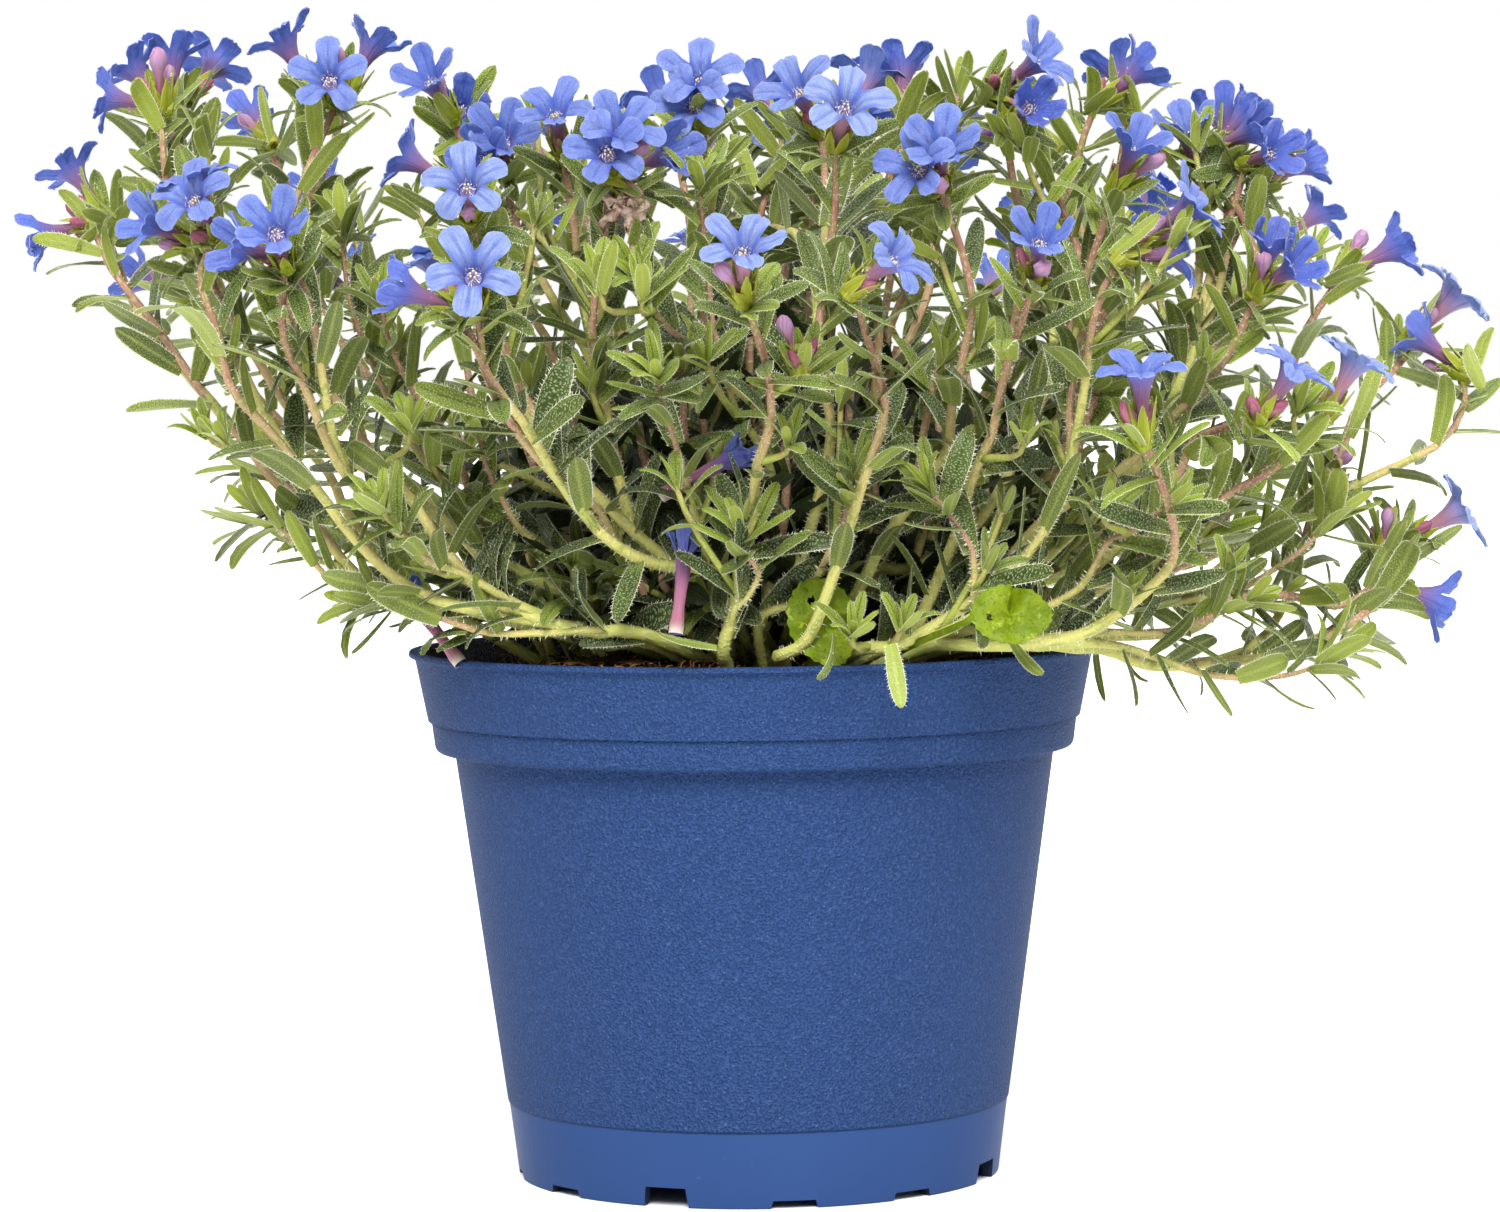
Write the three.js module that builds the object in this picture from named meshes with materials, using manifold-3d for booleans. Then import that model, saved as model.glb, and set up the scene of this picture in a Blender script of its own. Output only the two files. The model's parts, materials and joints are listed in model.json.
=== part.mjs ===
// A lithodora in full flower in its round nursery pot. Millimetres, +Z up, with the
// pot's axis on Z and its foot on z = 0. The front of the plant looks along -Y.
import * as THREE from "three";
import { mergeVertices } from "three/addons/utils/BufferGeometryUtils.js";
import Module from "manifold-3d";

const wasm = await Module();
wasm.setup();

// Pot
const potHeight = 92;
const rimRadius = 60; // outside of the flared lip
const collarFoot = 74.2; // underside of the collar
const collarStep = 78.3; // the fine line round the collar
const collarRadius = [55.6, 56.5, 59]; // at the underside, at the step, under the lip
const stepDepth = 0.4;
const wallRadius = [43.8, 52.2]; // at the lower band and at the collar
const bandHeight = 13;
const bandStep = 0.3;
const footRadius = 41.9;
const footWidth = 1.8; // of the ring that the pot stands on
const wall = 1.1;
const lipThickness = 0.8;
const floorHeight = 4.8; // underside of the floor
const floorThickness = 1.2;
const drainRadius = 3.5;
const drainCircle = 32;
const drainCount = 8;
const drainSides = 12;
const notchCount = 12;
const notchStart = -52; // degrees from the front, of the first notch
const notchWidth = 9;
const notchSlant = 1; // how much narrower the notch is at its top, on each side
const notchDepth = [1.4, 3.4, 1.4]; // repeated round the foot
const potSides = 48;

// Soil and crown
const gap = 0.3;
const soilTop = 86;
const soilDome = 1.5;
const crownRadius = 11;
const crownHeight = 8;
const crownSides = 12;

// Shoots, as the place of the open flower at the end of each
const flowerPlaces = [
  [-124, -5, 164],
  [-111, -14, 188],
  [-92, -45, 170],
  [-76, -68, 164],
  [-70, -34, 190],
  [-45, -72, 171],
  [-43, -92, 156],
  [-20, -60, 180],
  [-1, -94, 160],
  [16, -62, 183],
  [24, -90, 158],
  [50, -25, 192],
  [46, -82, 162],
  [72, -62, 166],
  [87, -20, 180],
  [89, -56, 140],
  [123, 6, 151],
  [122, -14, 115],
  [105, 42, 168],
  [76, 64, 172],
  [48, 92, 156],
  [24, 30, 194],
  [0, 96, 160],
  [-24, 58, 188],
  [-50, 90, 158],
  [-80, 60, 176],
  [-112, 40, 158],
];
const baseCircle = [15, 34]; // where the steepest and the widest shoots leave the soil
const widestReach = 125;
const stemRise = [8, 0.12]; // height gained on the level stretch: at least, and for each mm of rise
const levelShare = 0.5; // how far out the level stretch goes
const bendShare = 0.4; // how much of the rise is straight below the flower
const stemRadius = 1.2;
const stemSides = 5;
const stemSteps = 8;
const headRise = 0.9; // how far a flower looks up, for each unit that it looks out
const headLean = 0.45;

// Leaves
const leafLength = 16;
const leafWidth = 4.2;
const leafThickness = 1.2;
const leavesPerShoot = 7;
const leafRange = [0.3, 0.92]; // of the stem's length
const leafTurn = THREE.MathUtils.degToRad(137.5);
const leafSpread = THREE.MathUtils.degToRad(52); // between a leaf and its stem
const clearance = 1.2; // growth of a leaf when it is tested against its neighbours

// Flowers
const flowerRadius = 7.8;
const tubeLength = 11;
const tubeRadius = [0.9, 1.1, 2.6]; // at the base, halfway and at the throat
const notchRadius = 2.9; // between two lobes
const lobeThickness = 0.8;
const calyxLength = 6;
const calyxRadius = [1.3, 2.4];
const budLength = 9;
const budRadius = 1.5;
const budLean = 0.6;
const fallenPlace = [-12, -56, 109]; // the upper end of a corolla that dropped among the stems
const fallenTurn = 172;

// Round leaf of a seedling that grows in the same pot
const seedlingRadius = 6.2;
const seedlingThickness = 0.6;
const seedlingStalk = { radius: 0.6, length: 10 };
const seedlingSides = 14;
const seedlingPlace = [41, -71, 100];
const seedlingTurn = [62, 0, 12];

const materials = {
  pot: new THREE.MeshStandardMaterial({ color: 0x1f3f86, roughness: 0.42, metalness: 0 }),
  soil: new THREE.MeshStandardMaterial({ color: 0x3a281b, roughness: 0.95, metalness: 0 }),
  wood: new THREE.MeshStandardMaterial({ color: 0x6b5136, roughness: 0.85, metalness: 0 }),
  shoot: new THREE.MeshStandardMaterial({ color: 0x6f8a3c, roughness: 0.6, metalness: 0 }),
  flower: new THREE.MeshStandardMaterial({ color: 0x5878d8, roughness: 0.55, metalness: 0 }),
};

const up = new THREE.Vector3(0, 0, 1);
const plant = new THREE.Group();

function solidOf(geometry) {
  const shape = geometry.clone();
  shape.deleteAttribute("normal");
  shape.deleteAttribute("uv");
  const merged = mergeVertices(shape, 1e-4);
  return new wasm.Manifold(
    new wasm.Mesh({
      numProp: 3,
      vertProperties: merged.attributes.position.array,
      triVerts: new Uint32Array(merged.index.array),
    }),
  );
}

function geometryOf(solid) {
  const mesh = solid.getMesh();
  const geometry = new THREE.BufferGeometry();
  geometry.setAttribute("position", new THREE.BufferAttribute(mesh.vertProperties, 3));
  geometry.setIndex(new THREE.BufferAttribute(mesh.triVerts, 1));
  geometry.computeVertexNormals();
  return geometry;
}

function addPiece(name, solid, material) {
  const mesh = new THREE.Mesh(geometryOf(solid), material);
  mesh.name = name;
  plant.add(mesh);
}

// A profile of [radius, height] points turned round the Z axis.
function turned(profile, sides) {
  const points = profile.map(([r, z]) => new THREE.Vector2(r, z));
  return new THREE.LatheGeometry(points, sides).rotateX(Math.PI / 2);
}

// A stretched octahedron from the origin along +Z.
function blade(length, width, thickness) {
  return new THREE.OctahedronGeometry(1)
    .scale(width / 2, thickness / 2, length / 2)
    .translate(0, 0, length / 2);
}

// The wall's outer radius at a height between the lower band and the collar.
function wallAt(z) {
  return THREE.MathUtils.mapLinear(z, bandHeight, collarFoot, ...wallRadius);
}

function makePot() {
  const [collarLow, collarMid, collarTop] = collarRadius;
  const floorTop = floorHeight + floorThickness;
  const outside = [
    [0, floorHeight],
    [footRadius - footWidth, floorHeight],
    [footRadius - footWidth, 0],
    [footRadius, 0],
    [wallRadius[0] - bandStep, bandHeight],
    [wallRadius[0], bandHeight + bandStep],
    [wallRadius[1], collarFoot],
    [collarLow, collarFoot + wall],
    [collarMid, collarStep],
    [collarMid + stepDepth, collarStep + stepDepth],
    [collarTop, potHeight - lipThickness],
    [rimRadius, potHeight - lipThickness],
    [rimRadius, potHeight],
  ];
  const inside = [
    [collarTop - wall, potHeight],
    [collarLow - wall, collarFoot + 2 * wall],
    [wallRadius[1] - wall, collarFoot + wall],
    [wallAt(floorTop) - wall, floorTop],
    [0, floorTop],
  ];
  let pot = solidOf(turned([...outside, ...inside], potSides));
  const drill = 4 * floorThickness;
  const hole = new THREE.CylinderGeometry(drainRadius, drainRadius, drill, drainSides)
    .rotateX(Math.PI / 2)
    .translate(0, 0, floorHeight + floorThickness / 2);
  pot = pot.subtract(solidOf(hole));
  for (let i = 0; i < drainCount; i++) {
    const turn = (i / drainCount) * 2 * Math.PI;
    pot = pot.subtract(solidOf(hole.clone().translate(drainCircle, 0, 0).rotateZ(turn)));
  }
  for (let i = 0; i < notchCount; i++) {
    const degrees = notchStart + (360 / notchCount) * i;
    const depth = notchDepth[i % notchDepth.length];
    pot = pot.subtract(solidOf(notch(depth, THREE.MathUtils.degToRad(degrees))));
  }
  addPiece("pot", pot, materials.pot);
}

// A block that cuts one notch through the foot ring, turned from the front.
function notch(depth, turn) {
  const half = notchWidth / 2;
  const outline = new THREE.Shape([
    new THREE.Vector2(-half, -depth),
    new THREE.Vector2(half, -depth),
    new THREE.Vector2(half, 0),
    new THREE.Vector2(half - notchSlant, depth),
    new THREE.Vector2(notchSlant - half, depth),
    new THREE.Vector2(-half, 0),
  ]);
  return new THREE.ExtrudeGeometry(outline, { depth: 8 * wall, bevelEnabled: false })
    .rotateX(Math.PI / 2)
    .translate(0, -footRadius + 4 * wall, 0)
    .rotateZ(turn);
}

function makeSoil() {
  const bottom = floorHeight + floorThickness + gap;
  const radiusAt = (z) => wallAt(z) - wall - gap;
  const collarInside = collarRadius[0] - wall - gap;
  const soil = turned(
    [
      [0, bottom],
      [radiusAt(bottom), bottom],
      [radiusAt(collarFoot), collarFoot + wall],
      [collarInside, collarFoot + 2.5 * wall],
      [collarInside, soilTop - soilDome],
      [0.8 * collarInside, soilTop],
      [0, soilTop],
    ],
    potSides,
  );
  addPiece("potting_soil", solidOf(soil), materials.soil);
}

function makeCrown() {
  const low = soilTop + gap;
  const crown = turned(
    [
      [0, low],
      [crownRadius, low],
      [0.9 * crownRadius, low + 0.4 * crownHeight],
      [0.5 * crownRadius, low + 0.9 * crownHeight],
      [0, low + crownHeight],
    ],
    crownSides,
  );
  addPiece("crown", solidOf(crown), materials.wood);
}

// The route of a shoot: out from the soil, over the lip, then up to its flower.
function shootRoute([x, y, z]) {
  const reach = Math.hypot(x, y);
  const out = new THREE.Vector3(x / reach, y / reach, 0);
  const facing = out.clone().multiplyScalar(headLean).addScaledVector(up, headRise).normalize();
  const end = new THREE.Vector3(x, y, z).addScaledVector(facing, -tubeLength);
  const baseRadius = THREE.MathUtils.mapLinear(reach, 0, widestReach, ...baseCircle);
  const start = out.clone().multiplyScalar(baseRadius).setZ(soilTop + 2 * stemRadius);
  const run = end.clone().sub(start);
  const level = Math.hypot(run.x, run.y);
  const low = start.clone().addScaledVector(out, levelShare * level);
  low.z += stemRise[0] + stemRise[1] * run.z;
  const high = end.clone().addScaledVector(facing, -bendShare * run.z);
  return { curve: new THREE.CubicBezierCurve3(start, low, high, end), facing, end };
}

function stemSolid(curve) {
  const section = new THREE.Shape();
  for (let i = 0; i < stemSides; i++) {
    const a = (i / stemSides) * 2 * Math.PI;
    const corner = [stemRadius * Math.cos(a), stemRadius * Math.sin(a)];
    if (i) section.lineTo(...corner);
    else section.moveTo(...corner);
  }
  section.closePath();
  return solidOf(new THREE.ExtrudeGeometry(section, { steps: stemSteps, extrudePath: curve }));
}

// Turns a geometry's +Z to a direction and moves its origin to a place.
function aimed(geometry, direction, place) {
  const turn = new THREE.Quaternion().setFromUnitVectors(up, direction);
  return geometry.applyQuaternion(turn).translate(place.x, place.y, place.z);
}

// The five lobes as one thin plate.
function lobeOutline() {
  const corners = [];
  for (let i = 0; i < 5; i++) {
    for (const [degrees, radius] of [[-36, notchRadius], [-15, flowerRadius], [15, flowerRadius]]) {
      const a = THREE.MathUtils.degToRad(72 * i + degrees);
      corners.push(new THREE.Vector2(radius * Math.cos(a), radius * Math.sin(a)));
    }
  }
  return new THREE.Shape(corners);
}

function flowerSolid({ facing, end }) {
  const [narrow, middle, throat] = tubeRadius;
  const parts = [
    turned([[0, 0], [narrow, 0], [middle, 0.5 * tubeLength], [throat, tubeLength], [0, tubeLength]], 5),
    turned([[0, 0], [calyxRadius[0], 0], [calyxRadius[1], calyxLength], [0, calyxLength]], 5),
    new THREE.ExtrudeGeometry(lobeOutline(), { depth: lobeThickness, bevelEnabled: false })
      .translate(0, 0, tubeLength - lobeThickness / 2),
    blade(budLength, 2 * budRadius, 2 * budRadius).rotateY(budLean),
    blade(budLength, 2 * budRadius, 2 * budRadius).rotateY(-budLean),
  ];
  const tipGap = end.clone().addScaledVector(facing, gap);
  const solids = parts.map((part) => solidOf(aimed(part, facing, tipGap)));
  return solids.reduce((whole, part) => whole.add(part));
}

// Leaves in a spiral up the outer part of a shoot.
function leavesOf(curve, index) {
  const leaves = [];
  for (let i = 0; i < leavesPerShoot; i++) {
    const t = THREE.MathUtils.mapLinear(i, 0, leavesPerShoot - 1, ...leafRange);
    const along = curve.getTangentAt(t);
    const side = new THREE.Vector3().crossVectors(along, up).normalize();
    side.applyAxisAngle(along, leafTurn * (i + index));
    const direction = along.clone().multiplyScalar(Math.cos(leafSpread));
    direction.addScaledVector(side, Math.sin(leafSpread));
    leaves.push({ direction, place: curve.getPointAt(t) });
  }
  return leaves;
}

function touches(solid, others) {
  return others.some((other) => solid.intersect(other).volume() > 0);
}

function makeSeedlingLeaf() {
  const { radius, length } = seedlingStalk;
  const leaf = new THREE.CylinderGeometry(
    seedlingRadius,
    seedlingRadius,
    seedlingThickness,
    seedlingSides,
  ).rotateX(Math.PI / 2);
  const stalk = new THREE.CylinderGeometry(radius, radius, length, 6).translate(
    0,
    seedlingRadius + 0.4 * length,
    0,
  );
  return solidOf(leaf).add(solidOf(stalk)).rotate(seedlingTurn).translate(seedlingPlace);
}

function makeFallenCorolla() {
  const [, middle, throat] = tubeRadius;
  const tube = turned([[0, 0], [middle, 0], [throat, tubeLength], [0, tubeLength]], 6);
  return solidOf(tube).rotate([0, fallenTurn, 0]).translate(fallenPlace);
}

makePot();
makeSoil();
makeCrown();

const seedlingLeaf = makeSeedlingLeaf();
const fallenCorolla = makeFallenCorolla();
const fixed = [...plant.children.map((mesh) => solidOf(mesh.geometry)), seedlingLeaf, fallenCorolla];
const shoots = flowerPlaces.map((place) => {
  const route = shootRoute(place);
  return { ...route, stem: stemSolid(route.curve), flowers: flowerSolid(route) };
});
shoots.forEach((shoot, index) => {
  const stems = shoots.filter((other) => other !== shoot).map((other) => other.stem);
  const neighbours = [...fixed, ...stems, ...shoots.map((other) => other.flowers)];
  for (const { direction, place } of leavesOf(shoot.curve, index)) {
    const leaf = (growth) =>
      solidOf(
        aimed(blade(leafLength * growth, leafWidth * growth, leafThickness * growth), direction, place),
      );
    // A leaf that would run into a neighbour is left off.
    if (!touches(leaf(clearance), neighbours)) shoot.stem = shoot.stem.add(leaf(1));
  }
});
shoots.forEach(({ stem, flowers }, i) => {
  const number = String(i + 1).padStart(2, "0");
  addPiece("shoot_" + number, stem, materials.shoot);
  addPiece("flowers_" + number, flowers, materials.flower);
});
addPiece("seedling_leaf", seedlingLeaf, materials.shoot);
addPiece("fallen_corolla", fallenCorolla, materials.flower);

export default plant;
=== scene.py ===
import json
import math
import random

import bmesh
import bpy
import numpy as np
from mathutils import Euler, Matrix, Vector, noise

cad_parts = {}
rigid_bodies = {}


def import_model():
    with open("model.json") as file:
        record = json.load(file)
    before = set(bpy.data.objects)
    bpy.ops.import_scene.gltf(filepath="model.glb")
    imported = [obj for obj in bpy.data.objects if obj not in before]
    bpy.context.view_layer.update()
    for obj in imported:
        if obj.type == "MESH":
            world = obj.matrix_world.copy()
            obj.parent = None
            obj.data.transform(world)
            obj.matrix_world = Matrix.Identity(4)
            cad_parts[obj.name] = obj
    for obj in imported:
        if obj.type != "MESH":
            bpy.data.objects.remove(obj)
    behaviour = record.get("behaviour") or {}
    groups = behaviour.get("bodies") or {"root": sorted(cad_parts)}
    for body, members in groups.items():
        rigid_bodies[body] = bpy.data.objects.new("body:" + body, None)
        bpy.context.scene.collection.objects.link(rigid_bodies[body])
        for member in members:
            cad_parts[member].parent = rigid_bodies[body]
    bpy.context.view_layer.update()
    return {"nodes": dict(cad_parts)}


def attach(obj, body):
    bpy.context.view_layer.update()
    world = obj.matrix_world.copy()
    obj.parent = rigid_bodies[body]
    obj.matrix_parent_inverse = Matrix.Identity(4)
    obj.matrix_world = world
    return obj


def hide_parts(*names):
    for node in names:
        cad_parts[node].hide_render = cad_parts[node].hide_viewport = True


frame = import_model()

mm = 0.001  # every size below is in millimetres, and finished meshes are in metres
up = Vector((0, 0, 1))
golden = math.radians(137.5)


# Degrees round the plant, -90 to the front, and degrees up
def direction(degrees, rise):
    a, b = math.radians(degrees), math.radians(rise)
    return Vector((math.cos(a) * math.cos(b), math.sin(a) * math.cos(b), math.sin(b)))


# The camera stands where the photographer stood: a little above the plant, looking down by a few degrees.
view = {"place": (-0.5, -870, 144.3), "down": 3.0, "roll": -0.65, "lens": 120, "sensor": 36}


def addCamera():
    lens = bpy.data.cameras.new("camera")
    lens.lens = view["lens"]
    lens.sensor_width = view["sensor"]
    camera = bpy.data.objects.new("camera", lens)
    turn = Euler((math.radians(90 - view["down"]), 0, 0)).to_matrix().to_4x4()
    turn = turn @ Matrix.Rotation(math.radians(view["roll"]), 4, "Z")
    camera.matrix_world = Matrix.Translation(Vector(view["place"]) * mm) @ turn
    bpy.context.scene.collection.objects.link(camera)
    bpy.context.scene.camera = camera


# A soft key from the front, a weak fill, two rims from behind, and a white surround that is brightest above
studio = {
    "surround": (0.06, 1.42),  # strength level with the plant and above it
    "brightFrom": 0.9,  # how steeply up the surround reaches its full strength
    "backdrop": 1.0,  # what the camera sees
    "floorHalf": 8.0,
    "floor": 0.9,
    "lamps": {
        "key": {"from": (-92, 42), "strength": 5.0, "softness": 32},
        "fill": {"from": (-60, 15), "strength": 0.3, "softness": 40},
        "rimLeft": {"from": (135, 30), "strength": 1.0, "softness": 50},
        "rimRight": {"from": (42, 30), "strength": 1.3, "softness": 50},
    },
}


def addSurround():
    world = bpy.data.worlds.new("studio")
    world.use_nodes = True
    bpy.context.scene.world = world
    bpy.context.scene.view_settings.view_transform = "Standard"
    sky = NodeTree(world.node_tree)
    height = sky.split(sky.node("ShaderNodeTexCoord", {}, {}, "Generated"))[2]
    low, high = studio["surround"]
    reach = {"From Min": 0.0, "From Max": studio["brightFrom"], "To Min": low, "To Max": high}
    strength = sky.node("ShaderNodeMapRange", {}, {"Value": height, **reach})
    surround = sky.node("ShaderNodeBackground", {}, {"Color": (1, 1, 1), "Strength": strength})
    backdrop = sky.node("ShaderNodeBackground", {}, {"Color": (1, 1, 1), "Strength": studio["backdrop"]})
    seen = sky.node("ShaderNodeLightPath", {}, {}, "Is Camera Ray")
    both = sky.node("ShaderNodeMixShader", {}, {0: seen, 1: surround, 2: backdrop})
    sky.feed(world.node_tree.nodes["World Output"].inputs[0], both)


def addLamps():
    for name, lamp in studio["lamps"].items():
        light = bpy.data.lights.new(name, "SUN")
        light.energy = lamp["strength"]
        light.angle = math.radians(lamp["softness"])
        holder = bpy.data.objects.new(name, light)
        place = direction(*lamp["from"]) * 2
        holder.matrix_world = Matrix.Translation(place) @ place.to_track_quat("Z", "Y").to_matrix().to_4x4()
        bpy.context.scene.collection.objects.link(holder)


def addFloor():
    bm = bmesh.new()
    bmesh.ops.create_grid(bm, x_segments=1, y_segments=1, size=studio["floorHalf"])
    mesh = bpy.data.meshes.new("floor")
    bm.to_mesh(mesh)
    bm.free()
    grey = studio["floor"]
    paint = Look("paleFloor", Base_Color=(grey, grey, grey, 1), Roughness=0.9)
    mesh.materials.append(paint.material)
    floor = bpy.data.objects.new("floor", mesh)
    bpy.context.scene.collection.objects.link(floor)


# One value or colour in a tree of nodes, so that sums on values read as sums.
class Wire:
    def __init__(self, tree, socket):
        self.tree = tree
        self.socket = socket

    def maths(self, operation, *others):
        inputs = dict(enumerate([self, *others]))
        return self.tree.node("ShaderNodeMath", {"operation": operation}, inputs)

    def __add__(self, other):
        return self.maths("ADD", other)

    def __sub__(self, other):
        return self.maths("SUBTRACT", other)

    def __mul__(self, other):
        return self.maths("MULTIPLY", other)

    def __truediv__(self, other):
        return self.maths("DIVIDE", other)

    def __rsub__(self, other):
        return self.tree.node("ShaderNodeMath", {"operation": "SUBTRACT"}, {0: other, 1: self})

    __radd__ = __add__
    __rmul__ = __mul__

    def clamped(self):
        return self.tree.node("ShaderNodeClamp", {}, {"Value": self})

    # 0 below low and 1 above high, with a smooth way between
    def step(self, low, high):
        settings = {"interpolation_type": "SMOOTHSTEP"}
        inputs = {"Value": self, "From Min": low, "From Max": high}
        return self.tree.node("ShaderNodeMapRange", settings, inputs)


# The nodes of a material or of the white surround.
class NodeTree:
    def __init__(self, tree):
        self.tree = tree

    def node(self, kind, settings, inputs, output=0):
        made = self.tree.nodes.new(kind)
        for key, value in settings.items():
            if key == "stops":
                ramp = made.color_ramp
                while len(ramp.elements) < len(value):
                    ramp.elements.new(1)
                for stop, (place, colour) in zip(ramp.elements, value):
                    stop.position = place
                    stop.color = (*colour, 1)
            else:
                setattr(made, key, value)
        for key, value in inputs.items():
            self.feed(made.inputs[key], value)
        return Wire(self, made.outputs[output])

    def feed(self, socket, value):
        if isinstance(value, Wire):
            self.tree.links.new(value.socket, socket)
        elif isinstance(value, tuple) and len(value) == 3 and socket.type == "RGBA":
            socket.default_value = (*value, 1)
        else:
            socket.default_value = value

    # The three numbers of a vector
    def split(self, vector):
        made = self.node("ShaderNodeSeparateXYZ", {}, {0: vector}).socket.node
        return [Wire(self, number) for number in made.outputs]


# A material built from nodes.
class Look(NodeTree):
    def __init__(self, name, **constants):
        self.material = bpy.data.materials.new(name)
        self.material.use_nodes = True
        super().__init__(self.material.node_tree)
        self.shader = self.tree.nodes["Principled BSDF"]
        for key, value in constants.items():
            self.shader.inputs[key.replace("_", " ")].default_value = value

    def mix(self, factor, first, second):
        return self.node("ShaderNodeMix", {"data_type": "RGBA"}, {0: factor, 6: first, 7: second}, 2)

    def ramp(self, value, *stops):
        return self.node("ShaderNodeValToRGB", {"stops": stops}, {0: value})

    def noise(self, vector, scale, detail=3, roughness=0.55):
        inputs = {"Vector": vector, "Scale": scale, "Detail": detail, "Roughness": roughness}
        return self.node("ShaderNodeTexNoise", {}, inputs)

    # Round spots, one in each cell of a loose grid, 1 within the small radius and 0 beyond the large one
    def dots(self, vector, small, large):
        inputs = {"Vector": vector, "Scale": 1.0, "Randomness": 0.9}
        gap = self.node("ShaderNodeTexVoronoi", {"voronoi_dimensions": "2D"}, inputs, "Distance")
        return 1 - gap.step(small, large)

    def place(self):
        return self.node("ShaderNodeTexCoord", {}, {}, "Object")

    def outward(self):
        return self.node("ShaderNodeTexCoord", {}, {}, "Normal")

    # The piece's own map: along, across and tone, as Copies lays it out
    def mapped(self):
        columns, across = self.split(self.node("ShaderNodeUVMap", {"uv_map": "OFBake"}, {}))[:2]
        column = columns * toneColumns
        tone = column.maths("FLOOR")
        along = (column - tone - mapMargin) / (1 - 2 * mapMargin)
        return along, across, (tone + 0.5) / toneColumns

    def vector(self, x, y, z):
        return self.node("ShaderNodeCombineXYZ", {}, {0: x, 1: y, 2: z})

    def bump(self, height, distance, strength=1.0):
        inputs = {"Height": height, "Distance": distance, "Strength": strength}
        self.feed(self.shader.inputs["Normal"], self.node("ShaderNodeBump", {}, inputs))

    def set(self, name, value):
        self.feed(self.shader.inputs[name], value)


toneColumns = 12  # a copy's tone is kept as the column of the map that it lies in
mapMargin = 0.03


# Constants of a thin part that lets some light through
def thin(share, radius=(0.9, 1.0, 0.4)):
    return {"Subsurface_Weight": share, "Subsurface_Radius": radius, "Subsurface_Scale": 0.8 * mm}


# A small surface, with its two marks at each corner.
class Shape:
    def __init__(self, bm):
        along = bm.verts.layers.float["along"]
        across = bm.verts.layers.float["across"]
        bm.verts.index_update()
        self.points = np.array([v.co for v in bm.verts])
        self.sizes = np.array([len(f.verts) for f in bm.faces])
        self.corners = np.array([v.index for f in bm.faces for v in f.verts])
        self.marks = np.array([(v[along], v[across]) for f in bm.faces for v in f.verts])
        bm.free()

    def placed(self, place):
        matrix = np.array(place)
        return self.points @ matrix[:3, :3].T + matrix[:3, 3]


# An empty mesh whose corners carry their two marks
def newShape():
    bm = bmesh.new()
    return bm, bm.verts.layers.float.new("along"), bm.verts.layers.float.new("across")


# Closed bodies, with their faces turned outwards
def closedShape(bm):
    bmesh.ops.recalc_face_normals(bm, faces=bm.faces)
    return Shape(bm)


# Placed copies of shapes, gathered into one piece.
class Copies:
    def __init__(self):
        self.points = []
        self.sizes = []
        self.corners = []
        self.maps = []
        self.count = 0

    def add(self, shape, place, tone):
        self.points.append(shape.placed(place))
        self.sizes.append(shape.sizes)
        self.corners.append(shape.corners + self.count)
        column = min(int(max(tone, 0) * toneColumns), toneColumns - 1)
        layout = shape.marks.copy()
        layout[:, 0] = (column + mapMargin + (1 - 2 * mapMargin) * layout[:, 0]) / toneColumns
        self.maps.append(layout)
        self.count += len(shape.points)

    def piece(self, name, look, slot, replaced=(), crisp=False):
        mesh = bpy.data.meshes.new(name)
        points = np.concatenate(self.points) * mm
        corners = np.concatenate(self.corners)
        sizes = np.concatenate(self.sizes)
        starts = np.concatenate([[0], np.cumsum(sizes)[:-1]])
        mesh.vertices.add(len(points))
        mesh.vertices.foreach_set("co", points.astype(np.float32).ravel())
        mesh.loops.add(len(corners))
        mesh.loops.foreach_set("vertex_index", corners.astype(np.int32))
        mesh.polygons.add(len(sizes))
        mesh.polygons.foreach_set("loop_start", starts.astype(np.int32))
        layer = mesh.uv_layers.new(name="OFBake")
        mesh.update(calc_edges=True)
        layer.data.foreach_set("uv", np.concatenate(self.maps).astype(np.float32).ravel())
        mesh.validate()
        mesh.shade_smooth()
        if crisp:
            mesh.set_sharp_from_angle(angle=math.radians(60))
        showPiece(name, mesh, look, replaced)


def showPiece(name, mesh, look, replaced=()):
    mesh.materials.append(look.material)
    piece = bpy.data.objects.new(name, mesh)
    bpy.context.scene.collection.objects.link(piece)
    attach(piece, "root")
    if replaced:
        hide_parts(*replaced)
    print(name, len(mesh.polygons), "faces")


# Edges that are sharper than the angle, in degrees, stay crisp.
def finishMesh(bm, name, look, replaced, sharp=180):
    bmesh.ops.scale(bm, vec=(mm, mm, mm), verts=bm.verts)
    mesh = bpy.data.meshes.new(name)
    bm.to_mesh(mesh)
    bm.free()
    mesh.shade_smooth()
    if sharp < 180:
        mesh.set_sharp_from_angle(angle=math.radians(sharp))
    showPiece(name, mesh, look, replaced)


# Pot

pot = {
    "height": 91.8,
    "rim": 60,
    "lip": 0.95,
    "collar": (55.5, 56.2, 58.9),  # radius at the underside, at the step and under the lip
    "collarFoot": 74.2,
    "step": 79.5,
    "stepDepth": 0.55,
    "wallRadius": (43.8, 52.2),  # at the lower band and under the collar
    "band": 13.0,
    "bandStep": 0.25,
    "foot": 41.9,
    "footWidth": 1.8,
    "wall": 1.1,
    "floor": (4.8, 1.2),  # height of its underside, and its thickness
    "sides": 180,
    "notches": 12,
    "firstNotch": -52,
    "notchWidth": 9.0,
    "notchDepths": (1.4, 3.4, 1.4),
    "drains": 8,
    "drainRadius": 3.5,
    "drainCircle": 32,
}


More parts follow.
